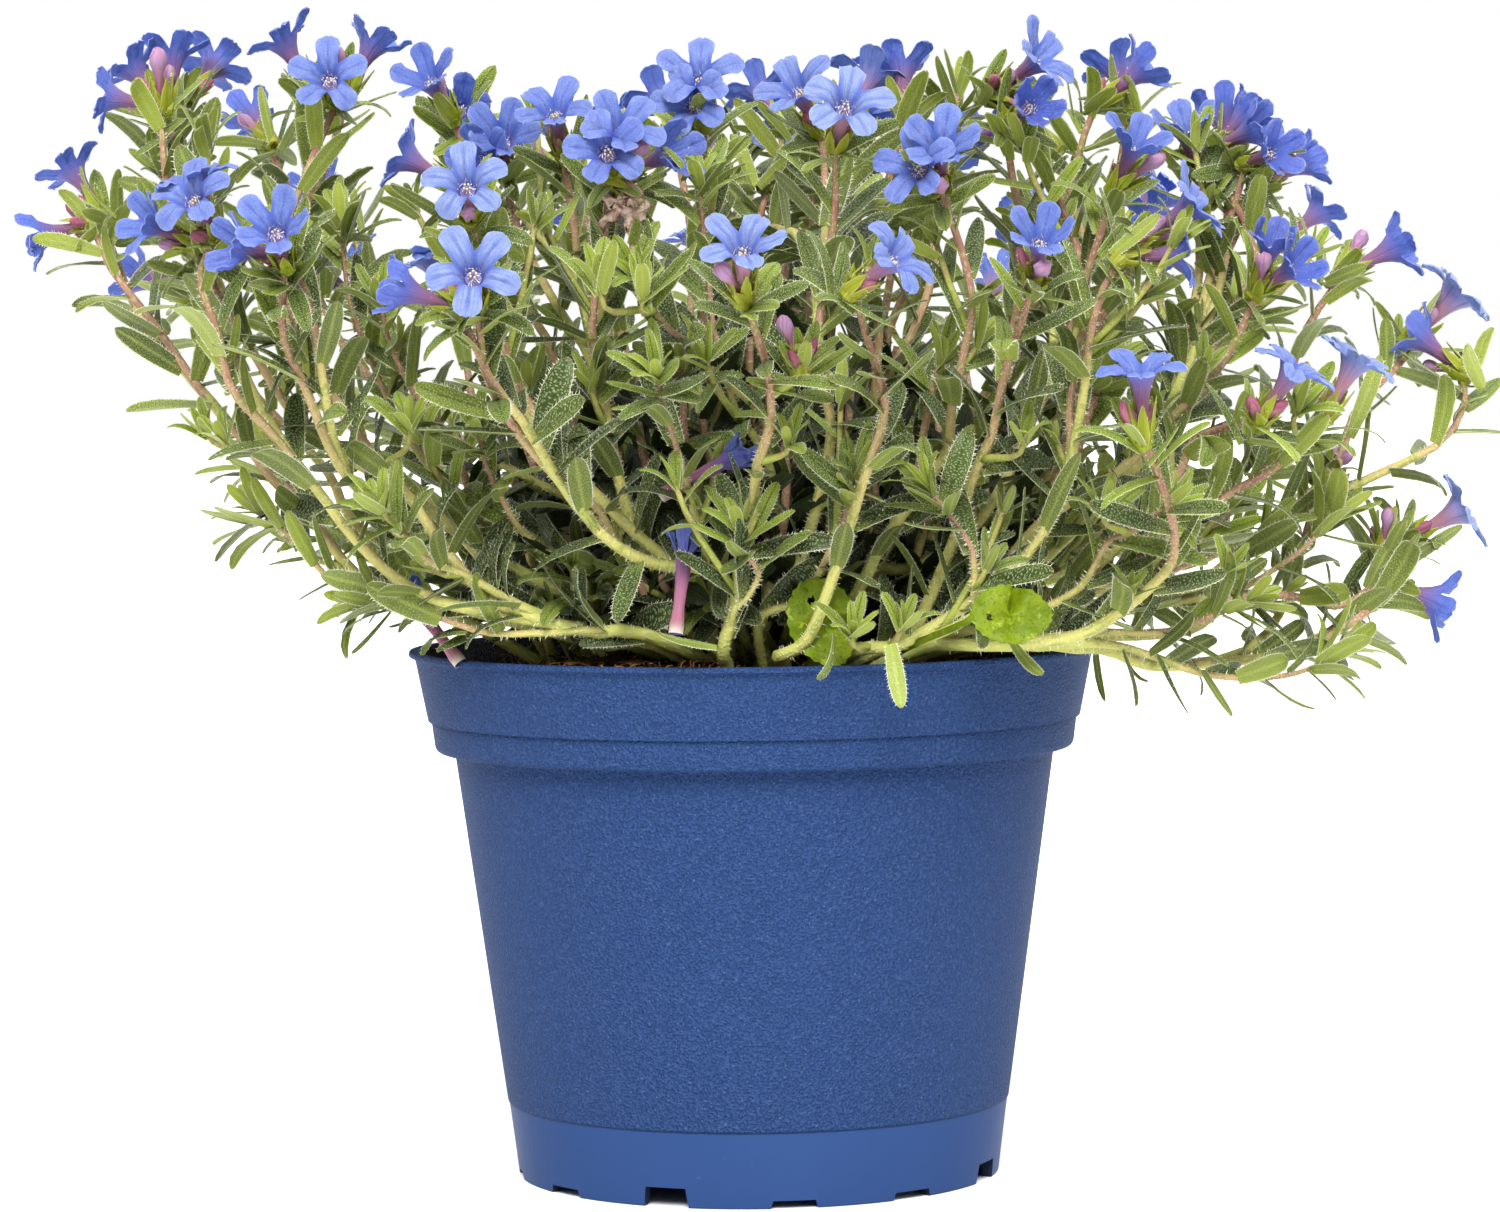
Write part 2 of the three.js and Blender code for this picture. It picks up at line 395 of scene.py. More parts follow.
def spunProfile(profile, sides):
    bm = bmesh.new()
    verts = [bm.verts.new((r, 0, z)) for r, z in profile]
    edges = [bm.edges.new(pair) for pair in zip(verts, verts[1:])]
    turn = {"axis": (0, 0, 1), "cent": (0, 0, 0), "angle": 2 * math.pi}
    bmesh.ops.spin(bm, geom=verts + edges, steps=sides, use_merge=True, **turn)
    bmesh.ops.remove_doubles(bm, verts=bm.verts, dist=1e-4)
    bmesh.ops.recalc_face_normals(bm, faces=bm.faces)
    return bm


# A quarter round between two points of a profile
def roundCorner(start, corner, end, steps=5):
    points = []
    for i in range(steps + 1):
        t = i / steps
        points.append(tuple(
            (1 - t) ** 2 * a + 2 * t * (1 - t) * b + t * t * c for a, b, c in zip(start, corner, end)
        ))
    return points


# From the middle of the underside, up the outside, over the lip and down the inside
def makePot():
    low, middle, top = pot["collar"]
    wall, height, foot, rim = pot["wall"], pot["height"], pot["foot"], pot["rim"]
    band, under, step = pot["band"], pot["collarFoot"], pot["step"]
    floor, thick = pot["floor"]
    narrow, wide = pot["wallRadius"]
    lipFoot, floorTop = height - pot["lip"], floor + thick
    slope = (wide - narrow) / (under - band)
    inner = foot - pot["footWidth"]
    smooth, ridge = narrow - pot["bandStep"], middle + pot["stepDepth"]
    profile = [(0, floor), (inner - 0.8, floor)]
    profile += roundCorner((inner - 0.5, floor), (inner, floor), (inner, floor - 0.5), 3)
    profile += [(inner, 0.15), (inner + 0.15, 0), (foot - 0.3, 0)]
    profile += roundCorner((foot - 0.3, 0), (foot, 0), (foot + 0.03, 0.3), 3)
    profile += [(smooth - 0.02, band - 0.3), (smooth, band)]
    profile += [(narrow - 0.05, band + 0.1), (narrow, band + 0.3)]
    profile += [(narrow + slope * z, band + z) for z in (20, 40, under - band - 1.0)]
    profile += roundCorner((wide, under - 0.5), (wide, under), (wide + 0.5, under + 0.1), 3)
    profile += roundCorner((low - 1.1, under + 0.05), (low + 0.02, under), (low + 0.15, under + 1.2), 6)
    profile += [(middle - 0.06, step - 0.3), (middle - 0.12, step - 0.05), (middle - 0.1, step + 0.06)]
    profile += [(ridge, step + 0.12), (ridge + 0.06, step + 0.35)]
    profile += roundCorner((top - 0.2, lipFoot - 1.4), (top, lipFoot - 0.3), (top + 0.35, lipFoot - 0.05), 4)
    profile += [(rim - 0.25, lipFoot - 0.05)]
    profile += roundCorner((rim - 0.05, lipFoot + 0.1), (rim + 0.02, height - 0.1), (rim - 0.3, height), 4)
    profile += [(top - wall + 0.4, height), (top - wall, height - 0.5), (middle - wall, step)]
    profile += [(low - wall, under + 2 * wall), (wide - wall, under + wall)]
    profile += [(narrow + slope * (floorTop - band) - wall, floorTop + 1)]
    profile += [(foot - wall - 1.5, floorTop), (0, floorTop)]
    cutPot(spunProfile(profile, pot["sides"]))


# Cuts the notches out of the foot ring and the holes out of the floor.
def cutPot(bm):
    mesh = bpy.data.meshes.new("potShell")
    bm.to_mesh(mesh)
    bm.free()
    shell = bpy.data.objects.new("potShell", mesh)
    tools = bmesh.new()
    for i in range(pot["notches"]):
        depth = pot["notchDepths"][i % 3]
        degrees = pot["firstNotch"] + i * 360 / pot["notches"]
        block = bmesh.ops.create_cube(tools, size=1)["verts"]
        size = (pot["notchWidth"], 5 * pot["footWidth"], 2 * depth)
        bmesh.ops.scale(tools, vec=size, verts=block)
        for vert in block:
            if vert.co.z > 0:
                vert.co.x *= 0.8
        shift = Vector((0, 1.5 - pot["foot"], 0))
        turn = Matrix.Rotation(math.radians(degrees), 4, "Z")
        bmesh.ops.transform(tools, matrix=turn @ Matrix.Translation(shift), verts=block)
    holes = [(0.0, 0.0)]
    for i in range(pot["drains"]):
        angle = 2 * math.pi * i / pot["drains"]
        holes.append((pot["drainCircle"] * math.cos(angle), pot["drainCircle"] * math.sin(angle)))
    radius = pot["drainRadius"]
    for x, y in holes:
        drill = {"radius1": radius, "radius2": radius, "depth": 6}
        place = Matrix.Translation((x, y, pot["floor"][0]))
        bmesh.ops.create_cone(tools, cap_ends=True, segments=32, matrix=place, **drill)
    toolMesh = bpy.data.meshes.new("potCutters")
    tools.to_mesh(toolMesh)
    tools.free()
    cutters = bpy.data.objects.new("potCutters", toolMesh)
    collection = bpy.context.scene.collection.objects
    collection.link(shell)
    collection.link(cutters)
    cut = shell.modifiers.new("cut", "BOOLEAN")
    cut.operation = "DIFFERENCE"
    cut.solver = "EXACT"
    cut.object = cutters
    bpy.context.view_layer.update()
    graph = bpy.context.evaluated_depsgraph_get()
    cutMesh = bpy.data.meshes.new_from_object(shell.evaluated_get(graph))
    for spare in (shell, cutters):
        bpy.data.objects.remove(spare)
    bm = bmesh.new()
    bm.from_mesh(cutMesh)
    finishMesh(bm, "nurseryPot", potLook(), ["pot"], sharp=38)


def potLook():
    look = Look("bluePotPlastic", Roughness=0.45, Specular_IOR_Level=0.03)
    place = look.place()
    height = look.split(place)[2]
    grained = height.step(0.0128, 0.0134)
    grainAndPaintedGlint = look.noise(place, 2250, 2, 0.5)
    worn = look.noise(place, 38, 6, 0.68)
    scuffs = worn.step(0.62, 0.78) * grained
    dust = look.noise(place, 260, 3, 0.7).step(0.70, 0.78)
    base = look.mix(look.noise(place, 22, 3), (0.019, 0.046, 0.138), (0.024, 0.053, 0.152))
    # The grain is real, but its lighter tops are a painted highlight that stands in for glints on the grain
    base = look.mix((grainAndPaintedGlint.step(0.44, 0.6) * grained) * 0.5, base, (0.044, 0.088, 0.225))
    # Pale specks over the grain: painted glints
    paintedGlint = look.noise(place, 2100, 1).step(0.66, 0.72) * grained
    base = look.mix(paintedGlint * 0.4, base, (0.12, 0.17, 0.32))
    base = look.mix(scuffs * 0.12, base, (0.08, 0.13, 0.28))
    base = look.mix(dust * 0.2, base, (0.14, 0.20, 0.34))
    level = look.node("ShaderNodeVectorMath", {"operation": "MULTIPLY"}, {0: place, 1: (1, 1, 0)})
    pair = {0: level, 1: look.outward()}
    facingOut = look.node("ShaderNodeVectorMath", {"operation": "DOT_PRODUCT"}, pair, 1)
    inside = 1 - facingOut.step(-0.002, 0.0)
    look.set("Base Color", look.mix(inside * 0.9, base, (0.012, 0.014, 0.022)))
    look.set("Roughness", (0.42 + grained * 0.08 + scuffs * 0.1).clamped())
    look.bump(grainAndPaintedGlint * grained + worn * 0.2, 0.0014)
    return look


# Soil and crown

soil = {
    "top": 87.6,
    "radius": 57.0,
    "side": ((50.6, 73.5), (53.8, 77.5), (55.3, 82)),
    "edge": 56.2,
    "rings": 30,
    "sides": 110,
    "lumps": 1.5,
    "mounds": ((-22, -34, 4.5, 300), (0, 0, 2.0, 900)),  # place, height and spread
    "bottom": 6.3,
    "crumbs": 520,
    "fibres": 520,
    "litterReach": (53, 52),  # crumbs and fibres
    "inside": 54,  # nothing on the soil lies further out
}


def soilHeight(x, y):
    spot = Vector((x, y, 0))
    rough = noise.noise(spot * 0.09) * 1.2 + noise.noise(spot * 0.35) * 0.8 + noise.noise(spot * 1.1) * 0.35
    reach = math.hypot(x, y) / soil["radius"]
    mound = sum(h * math.exp(-((x - a) ** 2 + (y - b) ** 2) / wide) for a, b, h, wide in soil["mounds"])
    return soil["top"] - 1.2 * reach ** 4 + mound + soil["lumps"] * rough


def makeSoil():
    slope = (pot["wallRadius"][1] - pot["wallRadius"][0]) / (pot["collarFoot"] - pot["band"])
    bottomRadius = pot["wallRadius"][0] + slope * (soil["bottom"] - pot["band"]) - 1.5
    profile = [(0, soil["bottom"]), (bottomRadius, soil["bottom"]), *soil["side"]]
    profile += [(soil["edge"] * (1 - i / soil["rings"]), soil["top"]) for i in range(soil["rings"])]
    bm = spunProfile([*profile, (0, soil["top"])], soil["sides"])
    for vert in bm.verts:
        if vert.co.z > soil["top"] - 1:
            vert.co.z = soilHeight(vert.co.x, vert.co.y)
    finishMesh(bm, "pottingSoil", soilLook(), ["potting_soil"])


def soilLook():
    look = Look("peat", Roughness=0.95, Specular_IOR_Level=0.15)
    place = look.place()
    clod = look.noise(place, 420, 5, 0.7)
    fleck = look.noise(place, 900, 2, 0.6).step(0.6, 0.72)
    base = look.ramp(
        clod,
        (0.3, (0.012, 0.007, 0.004)),
        (0.55, (0.045, 0.024, 0.012)),
        (0.75, (0.12, 0.062, 0.028)),
    )
    look.set("Base Color", look.mix(fleck * 0.5, base, (0.22, 0.115, 0.05)))
    look.bump(clod, 0.0008)
    return look


def crumbShape(rng):
    bm, along, across = newShape()
    bmesh.ops.create_icosphere(bm, subdivisions=1, radius=1)
    for vert in bm.verts:
        vert[along] = 0.5 + 0.4 * vert.co.x
        vert[across] = 0.5 + 0.4 * vert.co.z
        vert.co *= rng.uniform(0.6, 1.2)
    return Shape(bm)


def litterLook():
    look = Look("peatFibre", Roughness=0.9, Specular_IOR_Level=0.2)
    along, across, tone = look.mapped()
    base = look.ramp(
        tone,
        (0.0, (0.014, 0.008, 0.005)),
        (0.45, (0.07, 0.034, 0.015)),
        (1.0, (0.33, 0.16, 0.06)),
    )
    patch = look.noise(look.vector(along * 3, across * 3, tone * 7), 2.5, 3)
    look.set("Base Color", look.mix(patch.step(0.35, 0.75) * 0.5, base, (0.02, 0.011, 0.006)))
    return look


def spotOnSoil(within, rng):
    reach, angle = within * math.sqrt(rng.random()), rng.uniform(0, 2 * math.pi)
    return reach * math.cos(angle), reach * math.sin(angle)


# Crumbs and fibres on the soil, kept inside the pot.
def makeLitter():
    rng = random.Random(11)
    litter = Copies()
    crumbs = [crumbShape(rng) for _ in range(6)]
    for _ in range(soil["crumbs"]):
        x, y = spotOnSoil(soil["litterReach"][0], rng)
        size = rng.uniform(0.35, 1.5)
        place = Matrix.Translation((x, y, soilHeight(x, y) + 0.2 * size))
        turn = Euler([rng.uniform(0, 6) for _ in range(3)]).to_matrix().to_4x4()
        stretch = Matrix.Diagonal((size, size * rng.uniform(0.5, 1), size * rng.uniform(0.4, 0.8), 1))
        litter.add(rng.choice(crumbs), place @ turn @ stretch, rng.uniform(0, 0.6))
    for k in range(soil["fibres"]):
        x, y = spotOnSoil(soil["litterReach"][1], rng)
        if k % 3 == 0:
            x, y = rng.gauss(-22, 9), rng.gauss(-38, 6)  # the heap that shows at the left front
        route = fibreRoute(Vector((x, y, soilHeight(x, y) + 0.1)), rng)
        if len(route) > 2:
            radius = rng.uniform(0.08, 0.22)
            litter.add(tubeShape(route, [radius] * len(route), 3), Matrix(), rng.uniform(0.35, 1))
    litter.piece("peatCrumbsAndFibres", litterLook(), "soil")


def fibreRoute(start, rng):
    heading = Vector((rng.uniform(-1, 1), rng.uniform(-1, 1), rng.uniform(0.0, 0.5))).normalized()
    route = [start]
    for _ in range(5):
        heading = (heading + 0.5 * Vector([rng.uniform(-1, 1) for _ in range(3)])).normalized()
        spot = route[-1] + heading * rng.uniform(0.5, 1.3)
        if math.hypot(spot.x, spot.y) > soil["inside"]:
            break
        spot.z = min(max(spot.z, soilHeight(spot.x, spot.y)), soil["top"] + 4)
        route.append(spot)
    return route


crown = {"height": 94.3, "radius": 11.0, "foot": 84.5, "lumps": 1.6}


def makeCrown():
    radius, foot, height = crown["radius"], crown["foot"], crown["height"]
    profile = [(0, foot), (radius, foot + 0.2), (radius, foot + 3)]
    profile += roundCorner((radius * 0.95, foot + 4), (radius * 0.7, height), (0, height), 8)
    bm = spunProfile(profile, 40)
    for vert in bm.verts:
        reach = vert.co.xy.length
        if vert.co.z > foot + 1:
            rough = noise.noise(vert.co * 0.25) + 0.6 * noise.noise(vert.co * 0.7)
            vert.co.xy *= 1 + 0.12 * rough
            vert.co.z += crown["lumps"] * rough * min(reach / radius + 0.3, 1)
    finishMesh(bm, "woodyCrown", barkLook(), ["crown"])


def barkLook():
    look = Look("crownBark", Roughness=0.9, Specular_IOR_Level=0.2)
    x, y, z = look.split(look.place())
    strands = look.noise(look.vector(x * 5, y * 5, z), 420, 4, 0.65)
    base = look.ramp(
        strands,
        (0.3, (0.02, 0.011, 0.006)),
        (0.55, (0.09, 0.055, 0.03)),
        (0.75, (0.20, 0.14, 0.085)),
    )
    look.set("Base Color", base)
    look.bump(strands, 0.0006)
    return look


# What tubes, leaves and flowers are pulled from

# The part of a vector that is square to a direction
def squared(vector, ahead):
    return (vector - ahead * vector.dot(ahead)).normalized()


def turned(vector, angle, ahead):
    vector = vector.copy()
    vector.rotate(Matrix.Rotation(angle, 3, ahead))
    return vector


# A direction square to another, at an angle round it
def sideways(ahead, angle):
    return turned(ahead.orthogonal().normalized(), angle, ahead)


def taper(first, last, count):
    return [first + (last - first) * (i / (count - 1)) for i in range(count)]


# A frame at each point of a route: X and Y across it, Z along it, scaled to the radius.
def framesAlong(route, radii):
    frames = []
    side = Vector((0.3, -1, 0.2))
    for i, (point, radius) in enumerate(zip(route, radii)):
        ahead = (route[min(i + 1, len(route) - 1)] - route[max(i - 1, 0)]).normalized()
        side = squared(side, ahead)
        turn = Matrix((side * radius, ahead.cross(side) * radius, ahead * radius)).transposed().to_4x4()
        frames.append(Matrix.Translation(point) @ turn)
    return frames


# Pulls an open row of edges on by a matrix, and marks the new corners.
def pullEdges(bm, edges, matrix, mark=None):
    grown = bmesh.ops.extrude_edge_only(bm, edges=edges)["geom"]
    fresh = [part for part in grown if isinstance(part, bmesh.types.BMVert)]
    bmesh.ops.transform(bm, matrix=matrix, verts=fresh)
    if mark is not None:
        along = bm.verts.layers.float["along"]
        for vert in fresh:
            vert[along] = mark
    known = set(fresh)
    edges = [part for part in grown if isinstance(part, bmesh.types.BMEdge) and set(part.verts) <= known]
    return edges, fresh


# Pulls a closed ring through a row of frames, and closes both ends.
def pullThrough(bm, ring, frames, marks):
    edges = list(dict.fromkeys(edge for vert in ring for edge in vert.link_edges))
    bmesh.ops.transform(bm, matrix=frames[0], verts=ring)
    bm.faces.new(ring)
    for before, after, mark in zip(frames, frames[1:], marks[1:]):
        edges, fresh = pullEdges(bm, edges, after @ before.inverted(), mark)
    bmesh.ops.holes_fill(bm, edges=edges)


# A ring of corners round Z, marked across from 0 at one side to 1 at the other
def markedRing(bm, across, sides):
    ring = bmesh.ops.create_circle(bm, segments=sides, radius=1)["verts"]
    for vert in ring:
        vert[across] = abs(math.atan2(vert.co.y, vert.co.x)) / math.pi
    return ring


def tubeShape(route, radii, sides):
    bm, _, across = newShape()
    ring = markedRing(bm, across, sides)
    pullThrough(bm, ring, framesAlong(route, radii), [i / (len(route) - 1) for i in range(len(route))])
    return closedShape(bm)

# Shoots

shootForm = {
    "baseCircle": (15, 34),  # where the steepest and the widest shoots leave the soil
    "widestReach": 125,
    "rise": (8, 0.12),
    "levelShare": 0.5,
    "bendShare": 0.4,
    "baseRadius": 1.2,
    "tipRadius": 0.6,
    "sides": 7,
    "step": 5.5,
    "waver": 3.2,
    "swing": 70,  # how far round the middle a shoot may start
    "tube": 11,  # from the end of a stem to the mouth of its flower
    "twigStarts": (0.42, 0.5, 0.58, 0.66, 0.74),  # shares of a shoot at which a flowering twig may leave it
    "twigLength": 48,
    "hairs": 15,
    "leafTones": (0.85, 0.32),  # at the base and at the tip
}

# The flowers of the main shoots: place, the way they look in degrees round the plant (-90 to the front)
# and up, tone from pale 0 to deep 1 (brightly lit flowers are given paler tones, as painted light), open
# flowers and buds.
mainFlowers = {
    1: (-124, -5, 164, 188, -12, 0.75, 1, 3),
    2: (-111, -14, 188, 180, 12, 0.6, 1, 2),
    3: (-92, -45, 170, -112, 38, 0.35, 2, 2),
    4: (-76, -68, 164, -95, 32, 0.4, 1, 2),
    5: (-70, -34, 190, -95, 22, 0.4, 1, 1),
    6: (-45, -72, 171, -92, 30, 0.15, 1, 2),
    7: (-43, -92, 156, -90, 24, 0.1, 1, 1),
    8: (-20, -60, 180, -75, 42, 0.45, 2, 1),
    9: (-1, -94, 160, -90, 48, 0.15, 1, 1),
    10: (16, -62, 183, -80, 34, 0.05, 1, 1),
    11: (24, -90, 158, -38, 28, 0.25, 1, 2),
    12: (50, -25, 192, -35, 30, 0.4, 1, 1),
    13: (46, -82, 162, -85, 46, 0.55, 1, 2),
    14: (72, -62, 166, -12, 34, 0.35, 1, 2),
    15: (87, -20, 180, -30, 20, 0.85, 2, 1),
    16: (89, -56, 140, -20, 55, 0.3, 1, 1),
    17: (123, 6, 151, 0, 44, 0.0, 1, 1),
    18: (122, -14, 115, 0, 30, 0.0, 1, 3),
    19: (105, 42, 168, 20, 35, 0.6, 1, 2),
    20: (76, 64, 172, 40, 45, 0.45, 2, 1),
    21: (48, 92, 156, 62, 30, 0.3, 1, 2),
    22: (24, 30, 194, 70, 70, 0.5, 1, 1),
    23: (0, 96, 160, 90, 30, 0.2, 2, 2),
    24: (-24, 58, 188, 110, 60, 0.55, 1, 1),
    25: (-50, 90, 158, 118, 25, 0.35, 1, 2),
    26: (-80, 60, 176, 140, 45, 0.6, 1, 2),
    27: (-112, 40, 158, 165, 20, 0.7, 1, 1),
}

# Twigs that leave a main shoot: its number, the flower's place, and the same five values.
sideFlowers = [
    (1, -119, 8, 177, 150, 50, 0.6, 1, 1),
    (2, -107, 0, 194, 160, 50, 0.6, 1, 1),
    (2, -100, 6, 197, 90, 75, 0.7, 1, 2),
    (26, -90, 32, 187, 120, 30, 0.8, 1, 1),
    (5, -93, 14, 195, 60, 35, 0.5, 1, 1),
    (5, -80, -10, 198, 170, 60, 0.5, 1, 1),
    (5, -64, 0, 198, 20, 60, 0.45, 1, 1),
    (3, -101, -36, 166, -140, 20, 0.6, 1, 3),
    (4, -84, -60, 161, -150, 10, 0.7, 1, 1),
    (6, -57, -50, 176, 172, 30, 0.6, 1, 1),
    (7, -56, -82, 154, 188, 20, 0.75, 1, 1),
    (8, -41, -32, 180, -90, 30, 0.55, 2, 0),
    (8, -50, 0, 186, -90, 10, 0.8, 1, 1),
    (8, -32, -45, 184, -100, 45, 0.5, 1, 2),
    (8, -12, -52, 176, -40, 20, 0.75, 1, 0),
    (10, 8, -20, 188, -120, 40, 0.3, 1, 1),
    (10, 21, 0, 190, 60, 50, 0.3, 1, 0),
    (10, 6, 25, 184, -60, 20, 0.1, 1, 1),
    (12, 48, -36, 184, -70, 16, 0.95, 1, 1),
    (12, 43, 10, 182, 180, 20, 0.6, 1, 1),
    (15, 81, -8, 184, 100, 60, 0.75, 1, 1),
    (15, 90, -28, 176, -60, 10, 0.85, 1, 1),
    (15, 97, -14, 175, 0, 25, 0.85, 1, 1),
    (15, 74, -20, 181, -120, 60, 0.55, 1, 1),
    (14, 71, -64, 158, 0, 2, 0.6, 1, 1),
    (17, 115, -3, 145, 170, 40, 0.7, 1, 1),
    (18, 109, -16, 118, 60, 70, 0.5, 0, 3),
    (18, 103, -12, 130, 0, 60, 0.5, 0, 2),
]

# More shoots of their own, without a number.
extraShoots = [
    (-8, -45, 189, -95, 42, 0.35, 2, 1),
    (27, 0, 193, 90, 60, 0.75, 1, 1),
    (64, 15, 194, 120, 55, 0.8, 1, 1),
    (70, 5, 192, 0, 35, 0.8, 1, 1),
    (65, -35, 178, -60, 50, 0.6, 1, 1),
    (92, -42, 157, -45, 24, 0.85, 2, 1),
    (112, -8, 160, 5, 25, 0.75, 1, 1),
    (-55, -15, 191, -120, 40, 0.6, 1, 1),
    (9, 20, 174, 60, 10, 0.9, 1, 1),
    (38, 0, 198, 40, 80, 0.5, 0, 0),
    (-98, 28, 132, 165, 30, 0.5, 0, 0),
    (-12, -50, 150, -95, 60, 0.5, 0, 0),
    (34, -48, 150, -60, 60, 0.5, 0, 0),
    (-40, -44, 146, -120, 60, 0.5, 0, 0),
    (-64, -30, 150, -150, 50, 0.5, 0, 0),
    (66, -28, 148, -30, 50, 0.5, 0, 0),
    (86, -4, 150, 0, 50, 0.5, 0, 0),
    (-88, 4, 158, 180, 50, 0.5, 0, 0),
    (60, 12, 156, 40, 50, 0.5, 0, 0),
    (82, 18, 140, 20, 40, 0.5, 0, 0),
    (100, 10, 128, 5, 30, 0.5, 0, 0),
    (92, -8, 120, -10, 30, 0.5, 0, 0),
    (72, 40, 150, 35, 50, 0.5, 0, 0),
    (78, -6, 118, -5, 40, 0.5, 0, 0),
    (96, 24, 112, 20, 20, 0.5, 0, 0),
    (52, 20, 172, 60, 60, 0.5, 0, 0),
]

# The ways of the shoots that can be followed from the front, by flower number
frontRoutes = {
    1: [(-6, -22, 90), (-25, -44, 97), (-37, -43, 99), (-47, -41, 101), (-55, -39, 103), (-61, -36, 104),
        (-67, -34, 107), (-75, -28, 117), (-80, -25, 121), (-87, -22, 130), (-94, -18, 138), (-101, -15, 148),
        (-109, -12, 158)],
    2: [(-10, -14, 91), (-32, -34, 103), (-46, -33, 111), (-58, -31, 120), (-68, -28, 126), (-76, -26, 132),
        (-83, -23, 142), (-90, -20, 154), (-98, -17, 168)],
    3: [(-8, -20, 90), (-32, -42, 98), (-42, -42, 100), (-51, -42, 102), (-59, -42, 106), (-67, -41, 114),
        (-72, -41, 121), (-80, -41, 131), (-86, -41, 138), (-88, -41, 147), (-91, -40, 156)],
    4: [(-9, -16, 91), (-39, -36, 102), (-50, -38, 107), (-59, -40, 114), (-65, -43, 121), (-69, -46, 127),
        (-73, -49, 138), (-75, -53, 143), (-76, -56, 148)],
    5: [(-4, -26, 89), (-19, -46, 97), (-27, -45, 97), (-37, -44, 100), (-44, -43, 103), (-51, -42, 111),
        (-57, -41, 120), (-63, -40, 127), (-69, -38, 136), (-74, -37, 145), (-77, -35, 153), (-77, -34, 165)],
    6: [(0, -18, 92), (-9, -38, 105), (-17, -40, 111), (-25, -43, 119), (-32, -47, 127), (-37, -51, 136),
        (-40, -55, 144), (-43, -59, 155)],
    7: [(4, -24, 91), (-5, -44, 106), (-15, -46, 108), (-20, -50, 110), (-25, -54, 114), (-29, -58, 120),
        (-34, -63, 126), (-37, -68, 130), (-40, -73, 135), (-42, -78, 141)],
    8: [(-2, -20, 92), (-16, -36, 107), (-20, -37, 115), (-22, -39, 122), (-24, -41, 134), (-25, -44, 141),
        (-26, -46, 148), (-24, -49, 160)],
    9: [(-4, -44, 86), (-5, -50, 94), (-3, -52, 101), (-2, -55, 109), (0, -59, 117), (1, -63, 125),
        (3, -67, 131), (3, -72, 138), (2, -77, 143)],
    10: [(6, -22, 91), (7, -36, 103), (9, -37, 111), (11, -39, 118), (13, -41, 127), (13, -43, 133),
         (11, -46, 141), (12, -48, 152), (14, -51, 165)],
    11: [(6, -44, 86), (4, -50, 92), (9, -52, 96), (13, -56, 106), (16, -59, 115), (18, -64, 122),
         (21, -68, 131), (21, -73, 137), (19, -79, 143)],
    12: [(4, -12, 92), (17, -28, 106), (25, -28, 106), (33, -27, 109), (39, -27, 115), (44, -26, 123),
         (48, -25, 132), (52, -24, 140), (54, -24, 147), (55, -23, 162)],
    13: [(14, -26, 91), (25, -42, 95), (30, -45, 104), (34, -48, 114), (36, -53, 122), (39, -57, 129),
         (41, -63, 139), (43, -68, 146)],
    14: [(12, -42, 86), (19, -52, 92), (30, -52, 98), (40, -53, 105), (47, -54, 112), (50, -54, 119),
         (52, -55, 127), (52, -56, 135), (56, -57, 146)],
    15: [(12, -10, 92), (42, -26, 103), (52, -25, 110), (60, -24, 118), (67, -23, 125), (70, -22, 131),
         (75, -21, 138), (81, -19, 147), (86, -18, 159)],
    16: [(14, -16, 91), (48, -32, 101), (58, -34, 107), (66, -36, 115), (71, -39, 122), (74, -43, 128)],
    17: [(16, -16, 91), (51, -36, 97), (61, -34, 99), (72, -31, 101), (83, -28, 109), (90, -24, 114),
         (95, -21, 118), (100, -16, 122), (103, -12, 130), (107, -8, 135), (113, -2, 140)],
    18: [(18, -18, 90), (49, -40, 93), (58, -39, 93), (66, -37, 90), (75, -34, 90), (88, -32, 91),
         (97, -29, 94), (105, -26, 99), (108, -23, 103)],
}

# More flowering shoots that can be followed: the same eight values, and the way
followed = [
    ((61, -88, 140, -100, 75, 0.55, 1, 2),
     [(16, -36, 88), (40, -50, 94), (53, -53, 96), (61, -57, 101), (67, -61, 107), (68, -66, 112),
      (66, -74, 119)]),
    ((101, -38, 141, -20, 60, 0.1, 1, 1),
     [(16, -26, 90), (51, -46, 95), (59, -45, 99), (65, -44, 106), (70, -43, 112), (78, -42, 118),
      (87, -41, 123)]),
    ((117, -20, 99, 0, -20, 0.5, 1, 1),
     [(18, -20, 90), (44, -38, 94), (58, -37, 95), (66, -35, 95), (74, -34, 96), (81, -32, 101),
      (90, -29, 101), (99, -27, 99)]),
    ((31, -66, 176, -90, 34, 0.4, 2, 1),
     [(10, -20, 91), (18, -40, 104), (21, -42, 110), (27, -44, 119), (32, -47, 126), (33, -50, 134),
      (35, -53, 143), (36, -56, 153)]),
]

